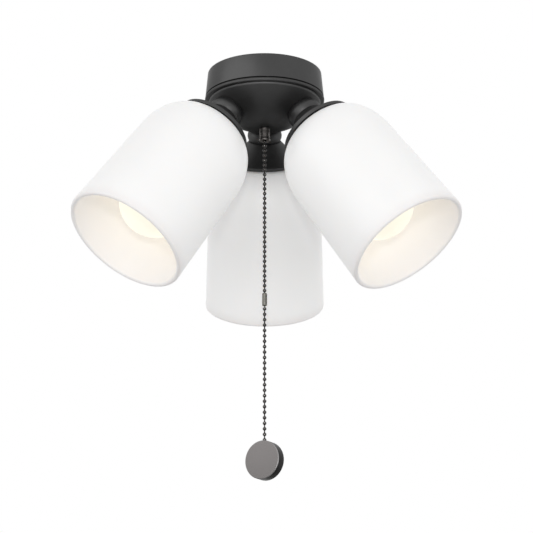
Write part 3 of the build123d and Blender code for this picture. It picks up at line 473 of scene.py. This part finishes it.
def blend(tree, factor, first, second):
    """Colour from first to second as the factor goes from 0 to 1."""
    made = tree.nodes.new("ShaderNodeMix")
    made.data_type = "RGBA"
    for plug, value in zip([plug for plug in made.inputs if plug.enabled],
                           (factor, first, second)):
        feed(tree, plug, value)
    return next(plug for plug in made.outputs if plug.enabled)


def height_of(tree):
    """Height in the object's own coordinates, in metres."""
    place = tree.nodes.new("ShaderNodeTexCoord")
    split = tree.nodes.new("ShaderNodeSeparateXYZ")
    tree.links.new(place.outputs["Object"], split.inputs["Vector"])
    return split.outputs["Z"]


def marked(tree, name):
    """Value of a mesh attribute."""
    made = tree.nodes.new("ShaderNodeAttribute")
    made.attribute_name = name
    return made.outputs["Fac"]


def bump(tree, surface, value, strength, distance):
    """Bumps the surface by a value."""
    made = tree.nodes.new("ShaderNodeBump")
    made.inputs["Strength"].default_value = strength
    made.inputs["Distance"].default_value = distance
    tree.links.new(value, made.inputs["Height"])
    tree.links.new(made.outputs["Normal"], surface.inputs["Normal"])


def tinted(red, green, blue):
    """An opaque colour."""
    return (red, green, blue, 1.0)


def grey(level):
    """A neutral colour."""
    return tinted(level, level, level)


def banded(tree, colour, low, high, tone):
    """A colour that changes to a tone between two heights."""
    height = height_of(tree)
    inside = maths(tree, "MULTIPLY", maths(tree, "GREATER_THAN", height, low * MM),
                   maths(tree, "LESS_THAN", height, high * MM))
    return blend(tree, inside, colour, tone)


def dulled(tree, rough, top):
    """A roughness that is higher below a height, on the pan."""
    below = maths(tree, "LESS_THAN", height_of(tree), top * MM)
    return maths(tree, "MULTIPLY_ADD", below, PAN_DULLNESS, rough)


def paint(name, low, high, roughness, bands=()):
    """Satin powder-coated metal: fine grain, slightly cloudy, with bands of another tone, which
    on the canopy are a painted shadow line and a painted highlight. It is duller below the first."""
    made, tree, surface = shader(name, Metallic=0.8, Specular_Tint=grey(0.6))
    clouds = noise(tree, scale=55.0, detail=4.0)
    colour = ramp(tree, clouds, low, high)
    for band in bands:
        colour = banded(tree, colour, *band)
    tree.links.new(colour, surface.inputs["Base Color"])
    rough = spread(tree, clouds, roughness - PAINT_MOTTLE, roughness + PAINT_MOTTLE)
    if bands:
        rough = dulled(tree, rough, bands[0][0])
    tree.links.new(rough, surface.inputs["Roughness"])
    bump(tree, surface, noise(tree, scale=2600.0, detail=2.0), strength=0.12, distance=0.0002)
    return made


def opal():
    """Blown opal glass with a satin outside: even white and very faintly wavy. It has a painted
    glow, stronger outside, for the lamp's light shining through it, and its inside, which sees
    the lamp, has a painted warm tint of that light."""
    made, tree, surface = shader("opal_glass", Roughness=0.38, Subsurface_Weight=0.25,
                                 Subsurface_Scale=0.004, Subsurface_Radius=(1.0, 0.9, 0.8),
                                 IOR=1.45)
    outside = marked(tree, "outside")
    # painted glow: emission on the glass, stronger on the outside than inside
    tree.links.new(spread(tree, outside, 0.11, 0.15), surface.inputs["Emission Strength"])
    tree.links.new(ramp(tree, outside, tinted(1.0, 0.95, 0.925), tinted(1.0, 0.99, 0.975),
                        start=0.0, end=1.0), surface.inputs["Emission Color"])
    cloud = noise(tree, scale=14.0, detail=2.0)
    # inside a painted warm tint of the lamp's light, outside the glass's own white
    warm = ramp(tree, cloud, tinted(0.89, 0.873, 0.87), tinted(0.91, 0.892, 0.888))
    cool = ramp(tree, cloud, tinted(0.885, 0.885, 0.887), grey(0.915))
    tree.links.new(blend(tree, outside, warm, cool), surface.inputs["Base Color"])
    bump(tree, surface, noise(tree, scale=24.0, detail=1.0), strength=0.05, distance=0.001)
    return made


def glow():
    """Frosted lamp glass, lit warm and faintly mottled from inside."""
    made, tree, surface = shader("lamp_glass", Roughness=0.5, Emission_Strength=0.5,
                                 Base_Color=tinted(0.9, 0.88, 0.78))
    mottle = noise(tree, scale=30.0, detail=2.0)
    tree.links.new(ramp(tree, mottle, tinted(1.0, 0.94, 0.76), tinted(1.0, 0.96, 0.82)),
                   surface.inputs["Emission Color"])
    return made


def metal(name, low, high, roughness, scale=180.0, by=None):
    """Plated or bare metal with a mottled roughness. Its colour is mottled too, or follows a
    mesh attribute."""
    made, tree, surface = shader(name, Metallic=1.0)
    mottle = noise(tree, scale, detail=4.0)
    if by:
        colour = ramp(tree, marked(tree, by), low, high, start=0.0, end=1.0)
    else:
        colour = ramp(tree, mottle, low, high)
    tree.links.new(colour, surface.inputs["Base Color"])
    tree.links.new(spread(tree, mottle, roughness * (1 - METAL_MOTTLE),
                          roughness * (1 + METAL_MOTTLE)), surface.inputs["Roughness"])
    bump(tree, surface, mottle, strength=0.06, distance=0.0002)
    return made


def disc_metal():
    """Satin pewter: pale turned faces, bright chamfers and a dark rim, told apart by how far they
    face along the disc's axis. The chamfers are polished and also carry a painted highlight."""
    made, tree, surface = shader("disc_finish", Metallic=1.0)
    rim = tinted(0.014, 0.013, 0.013)
    # polished chamfer, made brighter as a painted highlight
    chamfer = tinted(0.32, 0.312, 0.312)
    face = tinted(0.16, 0.151, 0.149)
    place = tree.nodes.new("ShaderNodeTexCoord")
    facing = tree.nodes.new("ShaderNodeVectorMath")
    facing.operation = "DOT_PRODUCT"
    feed(tree, facing.inputs[0], place.outputs["Normal"])
    feed(tree, facing.inputs[1], (sin(radians(DISC_YAW)), -cos(radians(DISC_YAW)), 0))
    size = maths(tree, "ABSOLUTE", facing.outputs["Value"])
    tree.links.new(ramp(tree, size, rim, face, start=0.2, end=0.99,
                        between=[(0.45, chamfer), (0.9, chamfer)]),
                   surface.inputs["Base Color"])
    grain = noise(tree, scale=40.0, detail=4.0)
    tree.links.new(spread(tree, grain, 0.32, 0.44), surface.inputs["Roughness"])
    bump(tree, surface, grain, strength=0.06, distance=0.0002)
    return made


def moulded(name, low, high, roughness):
    """Moulded plastic or rubber with a fine grain."""
    made, tree, surface = shader(name)
    grain = noise(tree, scale=900.0, detail=3.0)
    tree.links.new(ramp(tree, grain, low, high), surface.inputs["Base Color"])
    tree.links.new(spread(tree, grain, roughness - PLASTIC_MOTTLE, roughness + PLASTIC_MOTTLE),
                   surface.inputs["Roughness"])
    bump(tree, surface, grain, strength=0.15, distance=0.0001)
    return made


def materials():
    """All finishes by the record's slot names."""
    return {
        # the canopy's bands: a painted shadow line under the drum and a painted highlight on the
        # pan's shoulder
        "canopy_finish": paint("canopy_finish", grey(0.062), grey(0.07), 0.33,
                               bands=[(*PAINTED_SEAM_SHADOW, grey(0.006)), (*PAINTED_SHOULDER_HIGHLIGHT, grey(0.12))]),
        "cup_finish": paint("cup_finish", grey(0.064), grey(0.073), 0.44),
        "ground_green": paint("ground_green", tinted(0.02, 0.17, 0.05),
                              tinted(0.03, 0.22, 0.07), 0.35),
        "opal_glass": opal(),
        "lamp_glass": glow(),
        "gasket_rubber": moulded("gasket_rubber", grey(0.02), grey(0.03), 0.7),
        "socket_plastic": moulded("socket_plastic", grey(0.6), grey(0.66), 0.45),
        "switch_plastic": moulded("switch_plastic", grey(0.02), grey(0.03), 0.5),
        "contact_brass": metal("contact_brass", tinted(0.62, 0.44, 0.19),
                               tinted(0.75, 0.56, 0.27), 0.3),
        "lamp_base_metal": metal("lamp_base_metal", grey(0.6), grey(0.72), 0.28),
        "zinc_steel": metal("zinc_steel", tinted(0.5, 0.5, 0.49), tinted(0.62, 0.62, 0.6),
                            0.35),
        "spring_steel": metal("spring_steel", grey(0.42), grey(0.55), 0.25),
        "dark_bronze": metal("dark_bronze", tinted(0.118, 0.109, 0.105),
                             tinted(0.145, 0.136, 0.13), 0.4, scale=400.0),
        "coupling_metal": metal("coupling_metal", tinted(0.2, 0.195, 0.178),
                                tinted(0.26, 0.252, 0.23), 0.28, scale=300.0),
        # links painted darker than the polished beads, a painted shade between the beads
        "chain_metal": metal("chain_metal", tinted(0.03, 0.028, 0.027),
                             tinted(0.09, 0.086, 0.083), 0.13, scale=300.0, by="bead"),
        "disc_finish": disc_metal(),
    }


# Pieces of the canopy

def canopy_drum(finish):
    """Spun cup with a rolled rim, a recessed web and round vents."""
    inside_top = DRUM_TOP_RADIUS - DRUM_WALL
    slope = (DRUM_BOTTOM_RADIUS - DRUM_TOP_RADIUS) / DRUM_BOTTOM
    web_bottom = WEB_TOP - DRUM_WALL
    web_top_radius = inside_top + slope * WEB_TOP
    web_bottom_radius = inside_top + slope * web_bottom
    skin = lathe(rounded(
        (inside_top, 0, DRUM_HEM), (DRUM_TOP_RADIUS, 0, DRUM_LIP),
        (DRUM_BOTTOM_RADIUS, DRUM_BOTTOM, DRUM_HEM),
        (DRUM_BOTTOM_RADIUS - DRUM_WALL, DRUM_BOTTOM, DRUM_HEM),
        (web_bottom_radius, web_bottom, DRUM_HEM), (NIPPLE_HOLE, web_bottom),
        (NIPPLE_HOLE, WEB_TOP, DRUM_HEM), (web_top_radius, WEB_TOP, WEB_BEND)))
    made = piece("canopy_drum_spun", *skin, finish["canopy_finish"])
    high, low = WEB_TOP + WEB_BEND, web_bottom - WEB_BEND
    plug = lathe([(0, high), (VENT_RADIUS, high), (VENT_RADIUS, low), (0, low)], SMALL_TURNS,
                 closed=False)
    out = Matrix.Translation((VENT_CIRCLE, 0, 0))
    cut(made, joined(*(moved(plug, Matrix.Rotation(VENT_TURN * vent, 4, "Z") @ out)
                       for vent in range(VENTS))))
    return finished(made, "canopy", "canopy_finish", "canopy_drum")


def cut(made, plugs):
    """Cuts plugs out of a piece."""
    outwards(made)
    tool = outwards(piece("cutting_tool", *plugs, made.data.materials[0]))
    boolean = made.modifiers.new("cut", "BOOLEAN")
    boolean.operation = "DIFFERENCE"
    boolean.solver = "EXACT"
    boolean.object = tool
    bpy.context.view_layer.update()
    result = bpy.data.meshes.new_from_object(
        made.evaluated_get(bpy.context.evaluated_depsgraph_get()))
    made.modifiers.clear()
    made.data = result
    result.shade_smooth()
    bpy.data.objects.remove(tool)


def bowl_angle(radius, ball):
    """Where a sphere has a radius about Z, in degrees, on its lower half."""
    return degrees(asin(radius / ball)) - 90


def fitter_pan(finish):
    """Pan with a half round bead, a short wall and a bowl that is part of a sphere."""
    inner = BOWL_RADIUS - PAN_WALL
    inside = SPIGOT_RADIUS - PAN_WALL
    flat_radius = sqrt(BOWL_RADIUS**2 - (SPHERE_CENTRE - FLAT)**2)
    bead = arc((BEAD_ROOT, (BEAD_TOP + BEAD_BOTTOM) / 2),
               (BEAD_RADIUS - BEAD_ROOT, (BEAD_TOP - BEAD_BOTTOM) / 2), 90, -90, steps=14)
    bowl = arc((0, SPHERE_CENTRE), (BOWL_RADIUS, BOWL_RADIUS),
               bowl_angle(SHOULDER_RADIUS, BOWL_RADIUS) - SHOULDER_TRIM,
               bowl_angle(flat_radius, BOWL_RADIUS), steps=48)
    lining = arc((0, SPHERE_CENTRE), (inner, inner), bowl_angle(BUSHING_HOLE, inner),
                 bowl_angle(inside, inner), steps=32)
    shoulder = rounded((BEAD_ROOT, BEAD_BOTTOM), (SHOULDER_RADIUS, BEAD_BOTTOM, WALL_ROUND),
                       (SHOULDER_RADIUS, SHOULDER, SHOULDER_ROUND), bowl[0])[1:-1]
    section = [(inside, SPIGOT_TOP), (SPIGOT_RADIUS, SPIGOT_TOP), (SPIGOT_RADIUS, DRUM_BOTTOM),
               (BEAD_ROOT, DRUM_BOTTOM), *bead, *shoulder, *bowl, (BUSHING_HOLE, FLAT), *lining]
    low = sqrt(BOWL_RADIUS**2 - PAD_RADIUS**2) - PAN_WALL / 2
    pad = lathe(rounded((NIPPLE_HOLE, low), (NIPPLE_HOLE, ARM_SEAT),
                        (PAD_RADIUS, ARM_SEAT, PAD_ROUND), (PAD_RADIUS, low)), MEDIUM_TURNS)
    pads = [moved(pad, arm_frame(azimuth)) for azimuth in ARM_AZIMUTHS.values()]
    made = piece("fitter_pan_spun", *joined(lathe(section), *pads), finish["canopy_finish"])
    return finished(made, "canopy", "canopy_finish", "fitter_pan")


def threaded(radius, depth, pitch, low, high, bore, turns=SMALL_TURNS, steps=8, relief=None):
    """Tube with a rolled outside thread: a wavy helical surface that runs out over a quarter of
    a turn to plain ends and, where one is given, a plain relief groove (bottom, top, depth)."""
    rows = int(ceil((high - low) / pitch * steps))
    vertices, faces = [], []
    for row in range(rows + 1):
        height = low + (high - low) * row / rows
        fade = min(1.0, 4 * min(row, rows - row) / steps)
        for t in range(turns):
            phase = 2 * pi * (height / pitch - t / turns)
            deep = depth * (0.5 - 0.5 * cos(phase)) * fade + depth * (1 - fade)
            if relief and relief[0] < height < relief[1]:
                deep = relief[2]
            r = radius - deep
            vertices.append((r * cos(2 * pi * t / turns), r * sin(2 * pi * t / turns), height))
    for row in range(rows):
        faces += belt(row * turns, (row + 1) * turns, turns)
    last = rows * turns
    low_bore, high_bore = len(vertices), len(vertices) + turns
    vertices += ring(bore, low, turns) + ring(bore, high, turns)
    faces += belt(low_bore, 0, turns) + belt(last, high_bore, turns)
    faces += belt(high_bore, low_bore, turns)
    return vertices, faces


def mounting_nipple(finish):
    """Hollow threaded nipple in the middle of the canopy."""
    made = piece("mounting_nipple_threaded",
                 *threaded(NIPPLE_RADIUS, NIPPLE_THREAD_DEPTH, NIPPLE_PITCH, NIPPLE_BOTTOM,
                           NIPPLE_TOP, NIPPLE_BORE,
                           relief=(RELIEF_BOTTOM, RELIEF_TOP, RELIEF_DEPTH)),
                 finish["zinc_steel"])
    return finished(made, "canopy", "zinc_steel", "mounting_nipple")


# Pieces of one arm

def arm_collar(arm, place, finish):
    """Turned collar with a full round bead between pan and cup."""
    bulge = COLLAR_BEAD_RADIUS - (COLLAR_END_RADIUS + COLLAR_SKIRT_RADIUS) / 2
    bead = bowed((COLLAR_SKIRT_RADIUS, COLLAR_SKIRT), (COLLAR_END_RADIUS, CUP_TOP), -bulge,
                 steps=24)
    inside = PAD_RADIUS + COLLAR_PLAY
    section = [(NIPPLE_HOLE, ARM_SEAT), (inside, ARM_SEAT), (inside, COLLAR_SKIRT), *bead,
               (NIPPLE_HOLE, CUP_TOP)]
    made = piece(f"{arm}_collar_turned", *lathe(section, MEDIUM_TURNS), finish["cup_finish"],
                 place)
    return finished(made, "canopy", "cup_finish", f"{arm}_arm_collar")


def socket_cup(arm, place, finish):
    """Spun trumpet cup with a rolled rim and a flange turned in over the gasket."""
    inside = CUP_RADIUS - CUP_WALL
    flange = CUP_EDGE - FLANGE_DEPTH
    flare = bowed((NECK_RADIUS, CUP_TOP), (CUP_RADIUS, CUP_FLARE_END), CUP_FLARE_SAG)
    lining = bowed((inside - CUP_WALL, flange - CUP_WALL),
                   (NECK_RADIUS - CUP_WALL, CUP_TOP + CUP_WALL), -CUP_FLARE_SAG)
    rim = rounded((CUP_RADIUS, CUP_FLARE_END), (CUP_RADIUS, CUP_EDGE, CUP_RIM_ROUND),
                  (inside, CUP_EDGE, CUP_RIM_ROUND), (inside, flange))[1:-1]
    section = [(NIPPLE_HOLE, CUP_TOP), *flare, *rim, (inside, flange),
               (GLASS_HOLE_RADIUS, flange), (GLASS_HOLE_RADIUS, flange - CUP_WALL), *lining,
               (NIPPLE_HOLE, CUP_TOP + CUP_WALL)]
    made = piece(f"{arm}_cup_spun", *lathe(section), finish["cup_finish"], place)
    return finished(made, "canopy", "cup_finish", f"{arm}_socket_cup")


def mark(made, name, first):
    """Mesh attribute that is 1 on the first points and 0 on the others."""
    values = made.data.attributes.new(name, "FLOAT", "POINT")
    for index, point in enumerate(values.data):
        point.value = 1.0 if index < first else 0.0


def stepped(start, end, steps=12):
    """Points between two points, without them."""
    return [tuple(Vector(start).lerp(Vector(end), step / steps)) for step in range(1, steps)]


def glass_shade(arm, place, finish):
    """Blown dome and slightly tapered side with a fire-polished lip."""
    half = GLASS_WALL / 2
    width = GLASS_SHOULDER_RADIUS - GLASS_TOP_RADIUS
    height = GLASS_SHOULDER - GLASS_TOP
    centre = (GLASS_TOP_RADIUS, GLASS_SHOULDER)
    outer = arc(centre, (width, height), -90, 0, steps=40)
    inner = arc(centre, (width - GLASS_WALL, height - GLASS_WALL), 0, -90, steps=40)
    lip = arc((GLASS_MOUTH_RADIUS - half, GLASS_MOUTH - half), (half, half), 0, 180,
              steps=16)
    hem = rounded((inner[-1][0], GLASS_TOP + GLASS_WALL),
                  (GLASS_HOLE_RADIUS, GLASS_TOP + GLASS_WALL, GLASS_HOLE_ROUND),
                  (GLASS_HOLE_RADIUS, GLASS_TOP, GLASS_HOLE_ROUND),
                  (GLASS_TOP_RADIUS, GLASS_TOP))[1:-1]
    outside = outer + stepped(outer[-1], lip[0])
    section = outside + lip + stepped(lip[-1], inner[0]) + inner + hem
    made = piece(f"{arm}_shade_blown", *lathe(section, SHADE_TURNS), finish["opal_glass"], place)
    # outside points get the stronger painted glow, inside points the painted warm tint
    mark(made, "outside", len(outside) * SHADE_TURNS)
    return finished(made, "canopy", "opal_glass", f"{arm}_glass_shade")


def lamp_globe(arm, place, finish):
    """Pear of frosted glass whose neck opens tangentially into the ball."""
    centre = LAMP_TIP - LAMP_RADIUS
    turn = 2 * atan((LAMP_RADIUS - LAMP_NECK_RADIUS) / (centre - LAMP_BASE_END))
    touch = (LAMP_RADIUS * cos(turn), centre - LAMP_RADIUS * sin(turn))
    run, rise = touch[1] - LAMP_BASE_END, touch[0] - LAMP_NECK_RADIUS
    bend = (run**2 + rise**2) / (2 * rise)
    full = degrees(atan2(run, bend - rise))
    neck = arc((LAMP_NECK_RADIUS + bend, LAMP_BASE_END), (bend, bend), 180, 180 - full,
               steps=24)
    ball = arc((0, centre), (LAMP_RADIUS, LAMP_RADIUS), -degrees(turn), 90,
               steps=40)[1:-1]
    section = [(0, LAMP_BASE_END), *neck, *ball, (0, LAMP_TIP)]
    made = piece(f"{arm}_lamp_glass", *lathe(section, MEDIUM_TURNS, closed=False),
                 finish["lamp_glass"], place)
    return finished(made, f"{arm}_lamp", "lamp_glass", f"{arm}_lamp_globe")


def lamp_base(arm, place, finish):
    """Rolled screw base with an insulator cone and a soldered tip."""
    insulator = LAMP_CONTACT + LAMP_TIP_HEIGHT
    shoulder = insulator + LAMP_INSULATOR_HEIGHT
    screw = threaded(LAMP_BASE_RADIUS, LAMP_THREAD_DEPTH, LAMP_THREAD_PITCH, shoulder,
                     LAMP_BASE_END, LAMP_INSULATOR_RADIUS, MEDIUM_TURNS, steps=12)
    tip = lathe([(0, LAMP_CONTACT), (LAMP_CONTACT_RADIUS - LAMP_TIP_SLOPE, LAMP_CONTACT),
                 (LAMP_CONTACT_RADIUS, insulator), (LAMP_INSULATOR_RADIUS, shoulder),
                 (LAMP_INSULATOR_RADIUS, LAMP_BASE_END), (0, LAMP_BASE_END)], SMALL_TURNS,
                closed=False)
    made = piece(f"{arm}_lamp_screw", *joined(screw, tip), finish["lamp_base_metal"], place)
    return finished(made, f"{arm}_lamp", "lamp_base_metal", f"{arm}_lamp_base")


# Pieces of the switch and the pull

def switch_sleeve(finish):
    """Round nut with straight knurling and plain bands at its ends."""
    turns = SLEEVE_FLUTES * FLUTE_TURNS
    upper = [(0, SLEEVE_CHAMFER, 0), (SLEEVE_CHAMFER, 0, 0), (SLEEVE_BAND, 0, 0),
             (SLEEVE_RUN_OUT, 0, 1)]  # way from the end, chamfer, share of the flutes' depth
    bands = ([(FLAT - way, *rest) for way, *rest in upper]
             + [(SLEEVE_BOTTOM + way, *rest) for way, *rest in reversed(upper)])
    vertices, faces = [], []
    for height, chamfer, fluted in bands:
        for t in range(turns):
            deep = SLEEVE_FLUTE_DEPTH * abs(sin(pi * SLEEVE_FLUTES * t / turns)) * fluted
            r = SLEEVE_RADIUS - chamfer - deep
            vertices.append((r * cos(2 * pi * t / turns), r * sin(2 * pi * t / turns), height))
    vertices += ring(BUSHING_HOLE, SLEEVE_BOTTOM, turns) + ring(BUSHING_HOLE, FLAT, turns)
    rings = len(bands) + 2
    for index in range(rings):
        faces += belt(index * turns, (index + 1) % rings * turns, turns)
    made = piece("switch_nut_knurled", vertices, faces, finish["dark_bronze"])
    return finished(made, "canopy", "dark_bronze", "switch_nut")


def bell_mouth(finish):
    """Chain guide with two rings round its neck and a flared, rolled mouth."""
    throat = BELL_LIP + BELL_LIP_HEIGHT
    rings = [point for height in BELL_RINGS
             for point in arc((BELL_NECK_RADIUS, height), (BELL_RING_PROUD, BELL_RING_HALF),
                              90, -90, steps=8)]
    flared = rounded(rings[-1], (BELL_NECK_RADIUS, BELL_NECK_END, BELL_NECK_ROUND),
                     (BELL_RADIUS, BELL_SKIRT_TOP, BELL_SKIRT_ROUND),
                     (BELL_RADIUS, BELL_LIP, BELL_ROUND),
                     (BELL_LIP_RADIUS, BELL_LIP, BELL_EDGE_ROUND),
                     (BELL_THROAT, throat, BELL_THROAT_ROUND),
                     (BELL_THROAT, BUSHING_END, BELL_EDGE_ROUND), (BUSHING_HOLE, BUSHING_END))
    section = [(BUSHING_HOLE, SLEEVE_BOTTOM), (BELL_NECK_RADIUS, SLEEVE_BOTTOM), *rings,
               *flared[1:]]
    made = piece("bell_mouth_turned", *lathe(section, MEDIUM_TURNS), finish["dark_bronze"])
    return finished(made, "canopy", "dark_bronze", "bell_mouth")


def one_bead():
    """Hollow ball with the rolled rims of its two wire holes."""
    tip = degrees(asin(BEAD_POLE / BEAD))
    skin = arc((0, 0), (BEAD, BEAD), -tip, tip, steps=20)
    lips = [(WAIST * BEAD_LIP, BEAD_POLE + BEAD_LIP_PROUD), (WIRE, BEAD_POLE - BEAD_LIP_DEPTH)]
    section = [(radius, -height) for radius, height in reversed(lips)] + skin + lips
    return lathe(section, BEAD_TURNS, closed=False)


def wire_run(high, low):
    """Link between two beads, a little thicker where it enters them."""
    flare = min(WIRE_FLARE_LENGTH, (high - low) / 3)
    thick = WIRE * WIRE_FLARE
    section = [(0, high), (thick, high), (WIRE, high - flare), (WIRE, low + flare),
               (thick, low), (0, low)]
    return lathe(section, WIRE_TURNS, closed=False)


def chain(centres, top=None, bottom=None):
    """Beads and links, and the number of the beads' points, which come first. A wire end that is
    given leads out past the first or last bead."""
    bead = one_bead()
    sunk = BEAD_POLE - BEAD_LIP_DEPTH
    parts = [shifted(bead, centre) for centre in centres]
    ends = [end for end in (top, *centres, bottom) if end is not None]
    for high, low in zip(ends, ends[1:]):
        parts.append(wire_run(high if high == top else high - sunk,
                              low if low == bottom else low + sunk))
    return *joined(*parts), len(bead[0]) * len(centres)


def chains(finish):
    """All stretches of bead chain, each on the body that carries it."""
    pivot = BELL_LIP
    inner = [pivot + UPPER_PITCH * (INNER_BEADS - n) for n in range(INNER_BEADS)]
    upper = [pivot - UPPER_PITCH * (n + 1) for n in range(UPPER_BEADS)]
    lower = [LOWER_PIVOT - LOWER_PITCH * (n + 1) for n in range(LOWER_BEADS + 1)]
    stretches = {
        "pull_chain_inner": ("pull_chain", chain(inner, bottom=pivot + BEAD_GAP)),
        "upper_link_bead": ("upper_link", chain([pivot])),
        "upper_chain": ("upper_pull", chain([*upper, COUPLING_TOP - CAPTIVE_DROP],
                                            top=pivot - BEAD_GAP)),
        "coupling_bead": ("upper_pull", chain([COUPLING_BOTTOM + CAPTIVE_DROP],
                                              bottom=LOWER_PIVOT + BEAD_GAP)),
        "lower_link_bead": ("lower_link", chain([LOWER_PIVOT])),
        "lower_chain": ("lower_pull", chain(lower, top=LOWER_PIVOT - BEAD_GAP)),
    }
    for node, (body, (vertices, faces, beads)) in stretches.items():
        made = piece(f"{node}_beads", vertices, faces, finish["chain_metal"])
        mark(made, "bead", beads)
        finished(made, body, "chain_metal", node)


def coupling(finish):
    """Split barrel that holds the end beads of both chains."""
    bore = COUPLING_RADIUS - COUPLING_WALL
    inner = COUPLING_ROUND - COUPLING_WALL
    low, high = COUPLING_BOTTOM + COUPLING_WALL, COUPLING_TOP - COUPLING_WALL
    section = rounded(
        (COUPLING_MOUTH, COUPLING_BOTTOM), (COUPLING_RADIUS, COUPLING_BOTTOM, COUPLING_ROUND),
        (COUPLING_RADIUS, COUPLING_TOP, COUPLING_ROUND), (COUPLING_MOUTH, COUPLING_TOP),
        (COUPLING_MOUTH, high), (bore, high, inner), (bore, low, inner), (COUPLING_MOUTH, low))
    made = piece("chain_coupling_split", *lathe(section, SMALL_TURNS), finish["coupling_metal"])
    half, root, front = COUPLING_SLOT_HALF, COUPLING_SLOT_ROOT, -COUPLING_RADIUS - CUT_PAST
    slot = [(x, y, z)
            for z in (COUPLING_BOTTOM + COUPLING_ROUND, COUPLING_TOP - COUPLING_ROUND)
            for x, y in ((-half, root), (half, root), (half, front), (-half, front))]
    sides = [[0, 1, 2, 3], [4, 5, 6, 7], *belt(0, 4, 4)]
    cut(made, moved((slot, sides), Matrix.Rotation(radians(COUPLING_SLOT_TURN), 4, "Z")))
    return finished(made, "upper_pull", "coupling_metal", "chain_coupling")


def pull_disc(finish):
    """Thick disc with chamfered edges and a bore in its top edge."""
    half = DISC_THICKNESS / 2
    lower_last = LOWER_PIVOT - LOWER_BEADS * LOWER_PITCH
    centre = lower_last - DISC_BEAD_STAND - DISC_RADIUS
    section = rounded(
        (0, -half), (DISC_RADIUS - DISC_CHAMFER, -half, DISC_ROUND),
        (DISC_RADIUS, -half + DISC_CHAMFER, DISC_ROUND),
        (DISC_RADIUS, half - DISC_CHAMFER, DISC_ROUND),
        (DISC_RADIUS - DISC_CHAMFER, half, DISC_ROUND), (0, half))
    place = (Matrix.Translation((0, 0, centre)) @ Matrix.Rotation(radians(DISC_YAW), 4, "Z")
             @ Matrix.Rotation(radians(90), 4, "X"))
    made = piece("pull_disc_turned", *lathe(section, DISC_TURNS, closed=False),
                 finish["disc_finish"], place)
    bottom = lower_last - LOWER_PITCH - DISC_BORE
    above = centre + DISC_RADIUS + CUT_PAST
    cut(made, lathe([(0, bottom), (DISC_BORE, bottom), (DISC_BORE, above), (0, above)],
                    BORE_TURNS, closed=False))
    return finished(made, "disc", "disc_finish", "pull_disc")


def dress(finish):
    """Gives every CAD node that stays its finish, smooth shading and sharp edges."""
    slots = {row["node"]: row["material_slot"] for row in frame["record"]["subparts"]}
    for name, node in frame["nodes"].items():
        node.data.materials.clear()
        node.data.materials.append(finish[slots[name]])
        node.data.shade_smooth()
        node.data.set_sharp_from_angle(angle=radians(CREASE))


# Studio

def lights():
    """A wide soft panel on the left, which metal shows more of than matt surfaces, a small one
    above right, a low one in front that shows in gloss alone, low fills on both sides of it and
    a spark for the chain."""
    aim = Vector(LIGHT_AIM)
    for name, (place, width, height, power) in LIGHTS.items():
        data = bpy.data.lights.new(name, "AREA")
        data.shape = "RECTANGLE"
        data.size = width
        data.size_y = height
        data.energy = power
        lamp = bpy.data.objects.new(name, data)
        lamp.location = place
        lamp.visible_diffuse = not name.endswith("sheen")
        lamp.visible_glossy = not name.endswith("fill")
        lamp.rotation_mode = "QUATERNION"
        lamp.rotation_quaternion = (aim - Vector(place)).to_track_quat("-Z", "Y")
        bpy.context.scene.collection.objects.link(lamp)


def world():
    """White to the camera, in metal and through glass, and a softer even light otherwise."""
    made = bpy.data.worlds.new("studio")
    made.use_nodes = True
    tree = made.node_tree
    tree.nodes.clear()
    out = tree.nodes.new("ShaderNodeOutputWorld")
    mix = tree.nodes.new("ShaderNodeMixShader")
    for plug, strength in ((mix.inputs[1], ROOM_LIGHT), (mix.inputs[2], 1.0)):
        white = tree.nodes.new("ShaderNodeBackground")
        white.inputs["Color"].default_value = grey(1.0)
        white.inputs["Strength"].default_value = strength
        tree.links.new(white.outputs["Background"], plug)
    path = tree.nodes.new("ShaderNodeLightPath")
    shown = path.outputs["Is Camera Ray"]
    for ray in ("Is Glossy Ray", "Is Transmission Ray"):
        shown = maths(tree, "MAXIMUM", shown, path.outputs[ray])
    tree.links.new(shown, mix.inputs["Fac"])
    tree.links.new(mix.outputs["Shader"], out.inputs["Surface"])
    bpy.context.scene.world = made


def floor():
    """Pale floor of the room, far below the light kit, and the same floor further out, which
    only the camera sees."""
    made, tree, surface = shader("floor", Roughness=0.8)
    path = tree.nodes.new("ShaderNodeLightPath")
    cloud = noise(tree, scale=2.0)
    tree.links.new(blend(tree, path.outputs["Is Camera Ray"],
                         ramp(tree, cloud, grey(0.5), grey(0.54)),
                         ramp(tree, cloud, grey(0.86), grey(0.9))),
                   surface.inputs["Base Color"])
    for name, (half, height) in FLOORS.items():
        mesh = bpy.data.meshes.new(name)
        mesh.from_pydata([(-half, -half, height), (half, -half, height), (half, half, height),
                          (-half, half, height)], [], [[0, 1, 2, 3]])
        mesh.materials.append(made)
        plane = bpy.data.objects.new(name, mesh)
        if name != "floor":
            plane.visible_glossy = False
            plane.visible_diffuse = False
            plane.visible_transmission = False
            plane.visible_shadow = False
        bpy.context.scene.collection.objects.link(plane)


def main():
    """The whole scene."""
    bpy.context.scene.view_settings.view_transform = "Standard"
    camera()
    lights()
    world()
    floor()
    finish = materials()
    dress(finish)
    canopy_drum(finish)
    fitter_pan(finish)
    mounting_nipple(finish)
    for arm, azimuth in ARM_AZIMUTHS.items():
        place = arm_frame(azimuth)
        arm_collar(arm, place, finish)
        socket_cup(arm, place, finish)
        glass_shade(arm, place, finish)
        lamp_globe(arm, place, finish)
        lamp_base(arm, place, finish)
    switch_sleeve(finish)
    bell_mouth(finish)
    chains(finish)
    coupling(finish)
    pull_disc(finish)


main()
